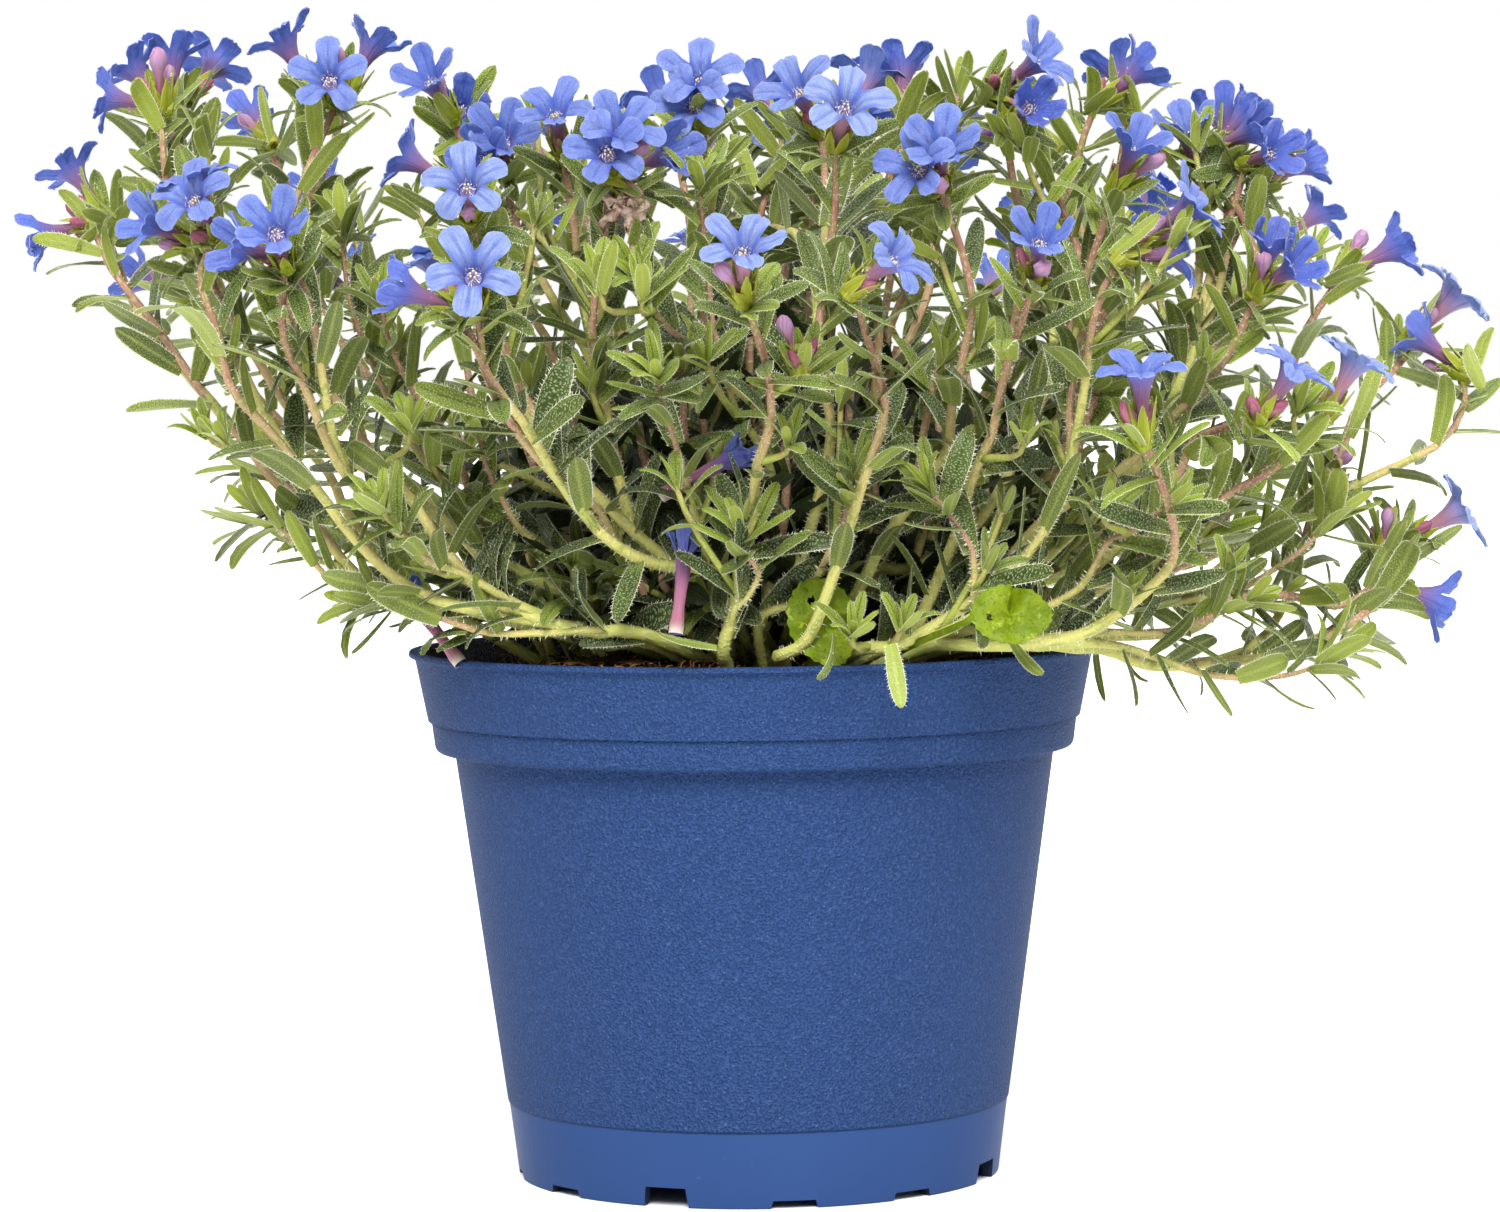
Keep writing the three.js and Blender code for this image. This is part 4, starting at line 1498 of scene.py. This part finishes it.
# The pale mouth: a small disc, five anthers, and a ring of white hairs
def throatShapes(rng):
    bm, along, _ = newShape()
    disc = bmesh.ops.create_circle(bm, cap_ends=True, segments=10, radius=1.3)["verts"]
    for vert in disc:
        vert.co.z = -3.4
        vert[along] = 1.0
    centre = bmesh.ops.poke(bm, faces=list(bm.faces))["verts"][0]
    centre[along] = 0.45
    for k in range(5):
        angle = 2 * math.pi * (k + 0.5) / 5
        spot = Vector((0.5 * math.cos(angle), 0.5 * math.sin(angle), -2.0 + rng.uniform(-0.3, 0.3)))
        turn = Matrix.Rotation(angle, 4, "Z")
        place = Matrix.Translation(spot) @ turn @ Matrix.Diagonal((0.2, 0.26, 0.5, 1))
        anther = bmesh.ops.create_icosphere(bm, subdivisions=1, radius=1, matrix=place)["verts"]
        for vert in anther:
            vert[along] = 0.02 + 0.1 * (k % 2)
    mouth = Shape(bm)
    hairs = newShape()[0]
    for k in range(36):
        angle = 2 * math.pi * (k + rng.random()) / 36
        out = Vector((math.cos(angle), math.sin(angle), 0))
        beside = Vector((-out.y, out.x, 0))
        root = out * rng.uniform(0.8, 1.7) + up * rng.uniform(-2.7, -1.8)
        tip = root + up * rng.uniform(0.3, 1.1) - out * rng.uniform(-0.3, 0.8)
        addHair(hairs, root, tip + beside * rng.uniform(-0.5, 0.5), beside * 0.1)
    return mouth, Shape(hairs)


# Turns Z to a direction, and then spins about it.
def facing(place, look, spin):
    turn = look.to_track_quat("Z", "Y").to_matrix().to_4x4()
    return Matrix.Translation(place) @ turn @ Matrix.Rotation(spin, 4, "Z")


# Scales a flower about the foot of its tube.
def scaledFlower(spot, scale):
    foot = Vector((0, 0, -flowerForm["foot"]))
    return spot @ Matrix.Translation(foot) @ Matrix.Scale(scale, 4) @ Matrix.Translation(-foot)


# What grows at the end of a shoot: open flowers, buds and the small leaves round them
def addHead(head, plant, rng):
    look, tone, opens, buds = head[1:]
    tip = stemTip(head)
    beside = sideways(look, rng.uniform(0, 6))
    for k in range(opens):
        aim = look
        if k:
            aim = (look * 1.1 + turned(beside, k * 2.4, look) * 0.8 + up * 0.2).normalized()
        spot = facing(tip + aim * shootForm["tube"] * rng.uniform(0.96, 1.04), aim, rng.uniform(0, 6))
        shade = tone + 0.12 * k
        spot = scaledFlower(spot, rng.uniform(0.95, 1.05) * (1.06 - 0.24 * shade))
        kind = min(max(int(shade * 8 + rng.uniform(-1.5, 2.5)), 0), len(plant["corollaShapes"]) - 1)
        plant["corollas"].add(plant["corollaShapes"][kind], spot, shade)
        mouth, hairs = rng.choice(plant["throatShapes"])
        plant["throats"].add(mouth, spot, rng.random())
        plant["whiteHairs"].add(hairs, spot, 0.5)
        addCalyx(spot, False, plant, rng)
    for k in range(buds):
        aim = turned(beside, 1.2 + golden * (k + 1), look)
        aim = (look + aim * rng.uniform(0.55, 0.95) + up * rng.uniform(0.1, 0.5)).normalized()
        spot = facing(tip + aim * shootForm["tube"], aim, rng.uniform(0, 6))
        spot = scaledFlower(spot, rng.uniform(0.65, 0.98))
        ripe = rng.random() < 0.22
        if ripe:
            plant["buds"].add(plant["balloon"], spot, rng.uniform(0.55, 1))
        elif rng.random() < 0.8:
            plant["buds"].add(plant["bud"], spot, rng.uniform(0, 0.45))
        addCalyx(spot, not ripe, plant, rng)
    for k in range(rng.randint(1, 3) if opens else 0):
        aim = turned(beside, 2.5 + golden * (k + buds + 1), look)
        aim = (look + aim * rng.uniform(0.6, 1.0) + up * rng.uniform(0.1, 0.4)).normalized()
        spot = facing(tip + aim * shootForm["tube"], aim, rng.uniform(0, 6))
        addCalyx(scaledFlower(spot, rng.uniform(0.6, 0.95)), True, plant, rng)
    for k in range(rng.randint(4, 6)):
        side = turned(beside, golden * k, look)
        spread = math.radians(rng.uniform(38, 70))
        at = tip - look * rng.uniform(1.5, 5.5) + side * 0.5
        addLeaf(at, look, side, spread, rng.uniform(8.5, 12.5), rng.uniform(0.2, 0.5), plant, rng, 0.85)
    if not opens:
        tuft(tip, look, plant, rng, 7, rng.uniform(7, 10), 0.1)


def addCalyx(spot, closed, plant, rng):
    sepals, hairs = rng.choice(plant["closedCalyxes" if closed else "calyxes"])
    plant["sepals"].add(sepals, spot, rng.random())
    plant["bristles"].add(hairs, spot, 0.5)


def petalLook(name, fading=0.0):
    look = Look(name, Roughness=0.5, Specular_IOR_Level=0.2, **thin(0.5, (0.5, 0.65, 1.0)))
    along, across, tone = look.mapped()
    inside = across.step(0.49, 0.51)
    offMiddle = (0.5 - (across - 0.5).maths("ABSOLUTE")) * 2
    face = look.ramp(
        tone,
        (0.0, (0.180, 0.225, 0.375)),
        (0.3, (0.128, 0.168, 0.360)),
        (0.6, (0.090, 0.124, 0.340)),
        (0.85, (0.067, 0.092, 0.310)),
        (1.0, (0.048, 0.063, 0.260)),
    )
    deep = look.mix(0.65, face, (0.025, 0.045, 0.290))
    violet = look.mix(0.55, face, (0.075, 0.045, 0.250))
    pale = look.mix(0.5, face, (0.29, 0.36, 0.54))
    vein = look.noise(look.vector(along * 2.2, across * 26, tone * 40), 1.0, 3, 0.7)
    face = look.mix(vein.step(0.46, 0.62) * 0.75, face, deep)
    cloud = look.noise(look.vector(along * 7, across * 9, tone * 30), 1.0, 3, 0.6)
    face = look.mix(cloud.step(0.55, 0.75) * 0.5, face, violet)
    face = look.mix((1 - cloud).step(0.52, 0.7) * 0.5, face, pale)
    middle = (1 - offMiddle.step(0.0, 0.24)) * (1 - along.step(0.82, 1.0))
    face = look.mix(middle * 0.7, face, deep)
    fleck = look.noise(look.vector(along * 46, across * 34, tone * 30), 1.0, 2, 0.6)
    face = look.mix(fleck.step(0.5, 0.66) * 0.45, face, pale)
    face = look.mix((1 - fleck).step(0.5, 0.68) * 0.4, face, deep)
    sinus = offMiddle.step(0.5, 0.95) * (1 - along.step(0.5, 0.75))
    face = look.mix(sinus * 0.7, face, (0.04, 0.07, 0.33))
    brim = offMiddle.step(0.7, 1.0) * along.step(0.6, 0.75) * 0.35 + along.step(0.9, 1.0) * 0.25
    face = look.mix(brim.clamped(), face, pale)
    throat = 1 - along.step(0.3, 0.46)
    inner = look.mix(throat * 0.7, face, (0.15, 0.13, 0.33))
    tube = look.ramp(
        along,
        (0.0, (0.62, 0.57, 0.50)),
        (0.07, (0.42, 0.30, 0.27)),
        (0.13, (0.23, 0.10, 0.13)),
        (0.26, (0.19, 0.075, 0.15)),
        (0.38, (0.135, 0.085, 0.23)),
        (0.5, (0.090, 0.095, 0.30)),
    )
    tube = look.mix(along.step(0.05, 0.15) * fading, tube, (0.40, 0.13, 0.19))
    # The backs of the lobes are drawn towards a paler blue, and light-toned flowers get pale pink tubes and
    # paler backs: painted light, standing in for light shining through the thin petals
    light = 1 - tone.step(0.1, 0.4)
    blush = look.mix(along.step(0.25, 0.5), (0.42, 0.21, 0.26), (0.26, 0.25, 0.42))
    tube = look.mix(light * along.step(0.05, 0.15) * 0.75, tube, blush)
    stripe = look.noise(look.vector(along * 3, across * 26, tone * 20), 1.0, 2)
    tube = look.mix(stripe.step(0.5, 0.66) * 0.25, tube, (0.34, 0.22, 0.30))
    tube = look.mix((1 - stripe).step(0.5, 0.66) * 0.3, tube, (0.07, 0.02, 0.05))
    back = look.mix(0.3, face, look.mix(light, (0.095, 0.12, 0.42), (0.27, 0.33, 0.52)))
    outer = look.mix(along.step(0.4, 0.6), tube, back)
    base = look.mix(inside, outer, inner)
    look.set("Base Color", look.mix(along.step(0.25, 0.45) * fading, base, (0.03, 0.03, 0.13)))
    look.bump(vein - middle, 0.00015, 0.6)
    return look


def budLook():
    look = Look("pinkBud", Roughness=0.6, Specular_IOR_Level=0.2)
    along, across, tone = look.mapped()
    small = look.ramp(
        along,
        (0.0, (0.17, 0.19, 0.04)),
        (0.4, (0.24, 0.15, 0.10)),
        (0.65, (0.34, 0.11, 0.15)),
        (1.0, (0.27, 0.065, 0.11)),
    )
    ripe = look.ramp(
        along,
        (0.0, (0.30, 0.22, 0.18)),
        (0.35, (0.36, 0.13, 0.17)),
        (0.6, (0.36, 0.16, 0.26)),
        (0.8, (0.34, 0.20, 0.35)),
        (1.0, (0.34, 0.17, 0.28)),
    )
    base = look.mix(tone.step(0.5, 0.52), small, ripe)
    fold = look.noise(look.vector(along * 2, across * 9 + along * 5, tone * 30), 1.0, 3, 0.6)
    # Light ridges and dark furrows along the twisted folds: painted highlight and painted shade
    base = look.mix(fold.step(0.45, 0.7) * 0.25, base, (0.42, 0.30, 0.38))
    base = look.mix((1 - fold).step(0.5, 0.7) * 0.36, base, (0.06, 0.015, 0.03))
    look.set("Base Color", base)
    look.bump(fold, 0.0004, 0.8)
    return look


def throatLook():
    look = Look("creamThroat", Roughness=0.6)
    base = look.ramp(
        look.mapped()[0],
        (0.0, (0.62, 0.50, 0.30)),
        (0.15, (0.66, 0.56, 0.42)),
        (0.3, (0.16, 0.06, 0.09)),
        (0.6, (0.13, 0.07, 0.16)),
        (1.0, (0.12, 0.11, 0.30)),
    )
    look.set("Base Color", base)
    return look


# The plant

# Everything the shoots are gathered into
def startPlant(rng):
    gathered = ("stems", "stemHairs", "bristles", "corollas", "throats", "whiteHairs", "sepals", "buds")
    return {
        "leafShapes": [leafShapes(bend, rng) for bend in leafForm["bends"] for _ in range(2)],
        "corollaShapes": [corollaShape(opening, rng) for opening in flowerForm["openings"] for _ in range(2)],
        "throatShapes": [throatShapes(rng) for _ in range(3)],
        "calyxes": [calyxShape(False, rng) for _ in range(3)],
        "closedCalyxes": [calyxShape(True, rng) for _ in range(3)],
        "bud": budShape(**flowerForm["bud"]),
        "balloon": budShape(**flowerForm["balloon"]),
        "stemHair": stemHair(),
        "leaves": [Copies() for _ in range(3)],
        "part": 0,  # which third of the leaves grows now
        "routes": [],
        "twigChance": 0.13,
        # Bare leaves may take the tones painted near black as shade
        "bare": False,  # leaves without bristles, deep inside
        "hanging": False,  # leaves that may hang over the lip
        **{name: Copies() for name in gathered},
    }


# Keeps a route clear of the lip of the pot.
def overLip(route):
    for point in route:
        gap = abs(math.hypot(point.x, point.y) - pot["rim"] + 2)
        if gap < 12:
            point.z = max(point.z, pot["height"] + 2.6 - 0.35 * max(gap - 4, 0))
    return route


def growShoot(route, head, plant, rng, first=0.16, radii=(shootForm["baseRadius"], shootForm["tipRadius"])):
    sizes = taper(*radii, len(route))
    plant["stems"].add(tubeShape(route, sizes, shootForm["sides"]), Matrix(), rng.uniform(0.0, 0.45))
    plant["routes"].append(route)
    addStemHairs(route, sizes, plant, rng)
    clothe(route, sizes, plant, rng, first, shootForm["leafTones"])
    addHead(head, plant, rng)


def addStemHairs(route, sizes, plant, rng):
    for start, end, size in zip(route, route[1:], sizes):
        ahead = (end - start).normalized()
        for _ in range(shootForm["hairs"]):
            t = rng.random()
            side = sideways(ahead, rng.uniform(0, 2 * math.pi))
            turn = Matrix((side, ahead.cross(side), ahead)).transposed().to_4x4()
            root = Matrix.Translation(start.lerp(end, t) + side * size * 0.92)
            spot = root @ turn @ Matrix.Scale(rng.uniform(0.6, 1.1), 4)
            plant["stemHairs"].add(plant["stemHair"], spot, 0.5)


def stemHair():
    bm = newShape()[0]
    addHair(bm, Vector(), Vector((0.8, 0, 0.15)), Vector((0, 0, 0.05)))
    return Shape(bm)


def makePlant():
    rng = random.Random(7)
    plant = startPlant(rng)
    parents = {}
    for number, row in mainFlowers.items():
        head = headOf(*row)
        route = shootRoute(head, number)
        if number in frontRoutes:
            route = through([*frontRoutes[number], stemTip(head)], 28)
        plant["part"] = number % 3
        parents[number] = overLip(route)
        growShoot(route, head, plant, rng)
    for k, (number, *row) in enumerate(sideFlowers):
        head = headOf(*row)
        plant["part"] = k % 3
        route = overLip(twigRoute(parents[number], head, 40 + k))
        growShoot(route, head, plant, rng, 0.1, (0.95, shootForm["tipRadius"]))
    for k, row in enumerate(extraShoots):
        head = headOf(*row)
        plant["part"] = k % 3
        growShoot(overLip(shootRoute(head, 80 + k)), head, plant, rng)
    growBackFlowers(plant, rng)
    leafy = [(None, points) for points in leafyRoutes]
    for k, (row, points) in enumerate([*followed, *leafy]):
        plant["part"] = k % 3
        growFollowed(row, points, plant, rng)
    growUnderstory(plant, rng)
    for x, y, z, turn, rise, size in youngTufts:
        growTuft(Vector((x, y, z)), direction(turn, rise), size, plant, rng)
    for x, y, z, turn, rise, length, narrow, tone in rimLeaves:
        ahead = direction(turn, rise)
        hanging = dict(plant, hanging=True)
        addLeaf(Vector((x, y, z)), ahead, squared(up, ahead), 0.0, length, tone, hanging, rng, narrow)
    growBackLeaves(plant, rng)
    growFrontBuds(plant, rng)
    return plant


# Flowers at the back, which follow the plant's dome
backFlowers = {
    "count": 18,
    "from": 12,
    "to": 168,
    "reach": ((20, 60), (70, 98)),  # by turns near the middle and near the edge
    "top": 196,
    "drop": (38, 105),  # how much lower the dome is at this reach
}


def growBackFlowers(plant, rng):
    least, most = backFlowers["from"], backFlowers["to"]
    drop, edge = backFlowers["drop"]
    for k in range(backFlowers["count"]):
        turn = least + (most - least) * (k + 0.5) / backFlowers["count"]
        reach = rng.uniform(*backFlowers["reach"][k % 2])
        height = backFlowers["top"] - drop * (reach / edge) ** 2 - rng.uniform(0, 8)
        look = direction(turn + rng.uniform(-40, 40), rng.uniform(20, 70))
        place = direction(turn, 0) * reach + up * height
        head = (place, look, rng.uniform(0.15, 0.8), 1 + k % 2, rng.randint(0, 2))
        plant["part"] = k % 3
        growShoot(overLip(shootRoute(head, 120 + k)), head, plant, rng)


# A tuft on a short twig from the nearest shoot below it
def growTuft(tip, look, size, plant, rng):
    below = [point for route in plant["routes"] for point in route if point.z < tip.z - 2]
    start = min(below, key=lambda point: (point - tip).length)
    gap = (tip - start).length
    route = bezier((start, start.lerp(tip, 0.4), tip - look * 0.4 * gap, tip), 6)
    plant["stems"].add(tubeShape(route, taper(0.7, 0.45, 6), 6), Matrix(), twigForm["tone"])
    tuft(tip, look, plant, rng, 7, size * 0.9, 0.06)


def growFollowed(row, points, plant, rng):
    thick, tip = shootForm["baseRadius"], shootForm["tipRadius"]
    if row:
        head = headOf(*row)
        points = [*points, stemTip(head)]
    else:
        look = (Vector(points[-1]) - Vector(points[-2])).normalized()
        head = (Vector(points[-1]) + look * shootForm["tube"], look, 0.5, 0, 0)
    route = overLip(through(points, 4 * len(points) - 6))
    if not row:
        long = (route[-1] - route[0]).length > 36
        thick, tip = thick * (0.74 if long else 0.5), 0.35
    growShoot(route, head, plant, rng, radii=(thick, tip))


# Buds that show in front: their foot, direction round and up, and whether they are about to open
frontBuds = [
    (45, -74, 154, -82, 12, True),
    (31, -57, 170, -92, -5, True),
    (-22, -52, 171, -35, -22, False),
    (42, -20, 186, -44, -20, True),
    (42, -20, 187, -95, 15, False),
    (-89, -37, 163, -118, 2, False),
    (-69, -24, 186, -85, 58, True),
    (-100, -14, 186, -90, 70, True),
    (87, -14, 170, -52, 28, True),
    (62, -29, 170, -35, 30, True),
    (61, -85, 129, -160, 60, False),
    (83, -54, 131, -115, 35, False),
]
closedHead = {"tip": (8, -68, 140), "look": (-80, 60), "buds": 3}


def growFrontBuds(plant, rng):
    for x, y, z, turn, rise, ripe in frontBuds:
        aim = direction(turn, rise)
        spot = facing(Vector((x, y, z)) + aim * shootForm["tube"], aim, rng.uniform(0, 6))
        if ripe:
            plant["buds"].add(plant["balloon"], spot, 0.9)
        else:
            plant["buds"].add(plant["bud"], spot, 0.2)
        addCalyx(spot, not ripe, plant, rng)
    tip, look = Vector(closedHead["tip"]), direction(*closedHead["look"])
    growTuft(tip, look, 9, plant, rng)
    addHead((tip + look * shootForm["tube"], look, 0.5, 0, closedHead["buds"]), plant, rng)


# Low shoots without flowers, which fill the back and the sides behind
backLeaves = {"count": 15, "from": 5, "to": 178, "reach": (60, 84), "height": (108, 142)}


def growBackLeaves(plant, rng):
    least, most = backLeaves["from"], backLeaves["to"]
    for k in range(backLeaves["count"]):
        turn = least + (most - least) * (k + 0.5) / backLeaves["count"]
        place = direction(turn, 0) * rng.uniform(*backLeaves["reach"])
        place.z = rng.uniform(*backLeaves["height"])
        look = direction(turn + rng.uniform(-20, 20), rng.uniform(20, 60))
        head = (place, look, 0.5, 0, 0)
        plant["part"] = k % 3
        growShoot(overLip(shootRoute(head, 160 + k)), head, plant, rng)


# Short shoots that fill the heart of the plant, their leaves painted near black as painted shade
understory = {
    "count": 84,
    "reach": 41,
    "widen": 1.25,
    "front": -38,  # none stands further forward
    "height": (14, 84),
    "drop": (0.75, 48),  # the share by which they are shorter at this reach
    "radii": (1.1, 0.7),
    # Tones past the darkest leaf tone, so these leaves are painted near black as shade
    "leafTones": (1.2, 0.98),
}


def growUnderstory(plant, rng):
    calm = dict(plant, twigChance=0.05, bare=True)
    drop, edge = understory["drop"]
    sizes = taper(*understory["radii"], 7)
    for k in range(understory["count"]):
        calm["part"] = k % 3
        reach = understory["reach"] * math.sqrt((k + 0.5) / understory["count"])
        place = direction(math.degrees(golden) * k, 0) * reach
        place.z = soil["top"] + rng.uniform(*understory["height"]) * (1 - drop * (reach / edge) ** 2)
        place.xy *= understory["widen"]
        place.y = max(place.y, understory["front"])
        rng.random()  # a draw that nothing uses, kept so that the later ones stay the same
        start = Vector((place.x * 0.7, place.y * 0.7, soil["top"] - 1))
        route = bezier((start, start.lerp(place, 0.3), start.lerp(place, 0.7), place), 7)
        route = overLip(waver(route, k + 0.5, 4))
        plant["stems"].add(tubeShape(route, sizes, 6), Matrix(), 0.3)
        clothe(route, sizes, calm, rng, 0.05, understory["leafTones"], 1.5)


# Leaves that lie over the lip: place, direction round and up, length, narrowness and tone
rimLeaves = [
    (13.2, -61.5, 97, -92, -62, 9, 1.0, 0.35),
    (22.3, -62.5, 95.5, -75, -66, 11, 0.9, 0.25),
    (42, -58, 95.5, -55, -42, 10, 0.9, 0.45),
    (-6, -61, 95.4, -170, 2, 10, 1.0, 0.5),
    (57.5, -26, 94.5, -70, -80, 12, 0.4, 0.85),
    (61.5, -30, 93.5, -20, -72, 9, 0.4, 0.85),
    (61, -46, 93, -60, -62, 10, 1.0, 0.6),
    (67, -45.5, 92, -40, -60, 11, 1.0, 0.7),
    (74, -44.5, 89.5, -50, -50, 10, 0.9, 0.6),
    (84, -43.5, 88.5, -30, -45, 11, 0.9, 0.65),
    (92, -42, 89, -60, -30, 9, 1.0, 0.5),
]

def showPlant(plant):
    shoots = [name for name in frame["nodes"] if name.startswith("shoot_")]
    heads = [name for name in frame["nodes"] if name.startswith("flowers_")]
    plant["stems"].piece("stems", stemLook(), "foliage", shoots)
    green = leafLook()
    for k, leaves in enumerate(plant["leaves"]):
        leaves.piece(f"leaves{k + 1}", green, "foliage", crisp=True)
    plant["sepals"].piece("sepals", sepalLook(), "foliage", crisp=True)
    pale = bristleLook()
    plant["bristles"].piece("bristles", pale, "foliage")
    plant["stemHairs"].piece("stemHairs", pale, "foliage")
    plant["corollas"].piece("corollas", petalLook("bluePetal"), "petals", heads, crisp=True)
    plant["throats"].piece("flowerThroats", throatLook(), "petals")
    plant["whiteHairs"].piece("throatHairs", whiteHairLook(), "petals")
    plant["buds"].piece("buds", budLook(), "petals")


def whiteHairLook():
    return Look("whiteThroatHair", Roughness=0.6, Base_Color=(0.70, 0.69, 0.72, 1))


# Seedling leaves of another plant, and flowers that have dropped

seedling = {
    "radius": 6.2,
    "teeth": 24,
    "tooth": 0.05,
    "bite": (-3.7, -0.5),  # where something has eaten a small hole
    "leaves": [((41.3, -70, 100.5), (72, 3, 10), 1.0), ((11.5, -51, 98.5), (80, 70, -12), 1.15)],
    "stalk": 0.6,
}


def makeSeedlings():
    bm = bmesh.new()
    for (x, y, z), turn, size in seedling["leaves"]:
        place = Matrix.Translation((x, y, z)) @ Euler([math.radians(a) for a in turn]).to_matrix().to_4x4()
        addRoundLeaf(bm, place @ Matrix.Scale(size, 4))
        addStalk(bm, Vector((x * 0.5, y * 0.5, soil["top"])), place @ Vector((-seedling["radius"], -0.6, 0)))
    finishMesh(bm, "seedlingLeaves", seedlingLook(), ["seedling_leaf"], sharp=50)


# A round leaf with fine teeth, a fold down its middle and a bite
def addRoundLeaf(bm, place):
    radius, known = seedling["radius"], set(bm.verts)
    rim = bmesh.ops.create_circle(bm, cap_ends=True, segments=2 * seedling["teeth"], radius=radius)["verts"]
    for vert in rim[::2]:
        vert.co *= 1 + seedling["tooth"]
    middle = [face for face in bm.faces if set(face.verts) <= set(rim)]
    for _ in range(6):
        bmesh.ops.inset_region(bm, faces=middle, thickness=radius * 0.13, use_boundary=True)
    bmesh.ops.poke(bm, faces=middle)
    mine = [vert for vert in bm.verts if vert not in known]
    spot = Vector((*seedling["bite"], 0))
    around = list(dict.fromkeys(face for vert in mine for face in vert.link_faces))
    bitten = min(around, key=lambda face: (face.calc_center_median() - spot).length).calc_center_median()
    around.sort(key=lambda face: (face.calc_center_median() - bitten).length)
    bmesh.ops.delete(bm, geom=around[:3], context="FACES")
    mine = [vert for vert in mine if vert.is_valid]
    for vert in mine:
        x, y = vert.co.x / radius, vert.co.y / radius
        fold = math.exp(-((x - 0.05 - 0.15 * y) / 0.13) ** 2) * min(max(0.6 + y, 0), 1)
        vert.co.z = 0.9 * (x * x + y * y) * (0.5 + 0.5 * x) - 2.4 * fold + 0.6 * noise.noise(vert.co * 0.35)
        vert.co.y *= 0.78 - 0.2 * max(x, 0) ** 2
        vert.co.x *= 1.04
    faces = list(dict.fromkeys(face for vert in mine for face in vert.link_faces))
    bmesh.ops.transform(bm, matrix=place, verts=mine)
    bmesh.ops.recalc_face_normals(bm, faces=faces)
    bmesh.ops.solidify(bm, geom=faces, thickness=0.3)


def addStalk(bm, foot, top):
    route = bezier((foot, foot + up * 6, top - Vector((2.5, 0, 2.5)), top), 9)
    ring = bmesh.ops.create_circle(bm, segments=7, radius=seedling["stalk"])["verts"]
    pullThrough(bm, ring, framesAlong(route, [1] * len(route)), [None] * len(route))


def seedlingLook():
    look = Look("freshSeedlingLeaf", Roughness=0.5, Specular_IOR_Level=0.15)
    place = look.place()
    cloud = look.noise(place, 300, 4, 0.6)
    base = look.mix(cloud.step(0.35, 0.7), (0.085, 0.130, 0.001), (0.145, 0.200, 0.004))
    dots = look.noise(place, 2600, 2, 0.5).step(0.6, 0.75)
    # Large pale yellow-green patches: painted highlight
    paintedHighlight = look.noise(place, 420, 3, 0.7).step(0.55, 0.72)
    base = look.mix(paintedHighlight * 0.55, base, (0.36, 0.45, 0.04))
    look.set("Base Color", look.mix(dots * 0.3, base, (0.17, 0.22, 0.03)))
    look.bump(cloud + dots * 0.3, 0.0006, 0.9)
    return look


# Flowers that have dropped among the stems: place, the way they look, and tone
fallen = [
    (-3.5, -51, 125.5, -22, 26, 0.92),
    (-11, -54, 110.5, 60, 76, 0.8),
    (-57, -29, 101.5, 150, 48, 0.7),
]
dried = (-22, -52, 168, -60, 40, 0.5)


def makeFallen():
    rng = random.Random(5)
    dropped = Copies()
    for x, y, z, turn, rise, tone in fallen:
        shape = corollaShape(rng.uniform(50, 70), rng, flowerForm["fallenTube"])
        for point in shape.points:
            if point[2] > -3:
                point[:2] *= 0.72
                point += np.array(noise.noise_vector(Vector(point) * 0.45 + Vector((x, y, z)))) * 1.1
        spot = facing(Vector((x, y, z)), direction(turn, rise), rng.uniform(0, 6))
        dropped.add(shape, spot @ Matrix.Diagonal((0.8, 0.8, 1.08, 1)), tone)
    dropped.piece("fallenCorollas", petalLook("fadingPetal", 0.5), "petals", ["fallen_corolla"], crisp=True)
    x, y, z, turn, rise, tone = dried
    withered = Copies()
    for k in range(3):
        spot = facing(Vector((x + 1.3 * k, y, z - 0.8 * k)), direction(turn + 70 * k, rise), 1.0 * k)
        shape = corollaShape(78, rng)
        shape.points[:] = shape.points * (0.55, 0.55, 0.4)
        for point in shape.points:
            point += np.array(noise.noise_vector(Vector(point) * 0.9 + Vector((k, 0, 0)))) * 1.3
        withered.add(shape, spot, tone)
    withered.piece("driedFlower", driedLook(), "petals")


def driedLook():
    look = Look("driedPetal", Roughness=0.8)
    place = look.place()
    cloud = look.noise(place, 900, 4, 0.7)
    base = look.ramp(
        cloud,
        (0.35, (0.34, 0.14, 0.09)),
        (0.5, (0.60, 0.42, 0.32)),
        (0.62, (0.76, 0.64, 0.54)),
    )
    look.set("Base Color", base)
    look.bump(cloud, 0.0004)
    return look


noise.seed_set(4)
addCamera()
addSurround()
addLamps()
addFloor()
makePot()
makeSoil()
makeLitter()
makeCrown()
showPlant(makePlant())
makeSeedlings()
makeFallen()
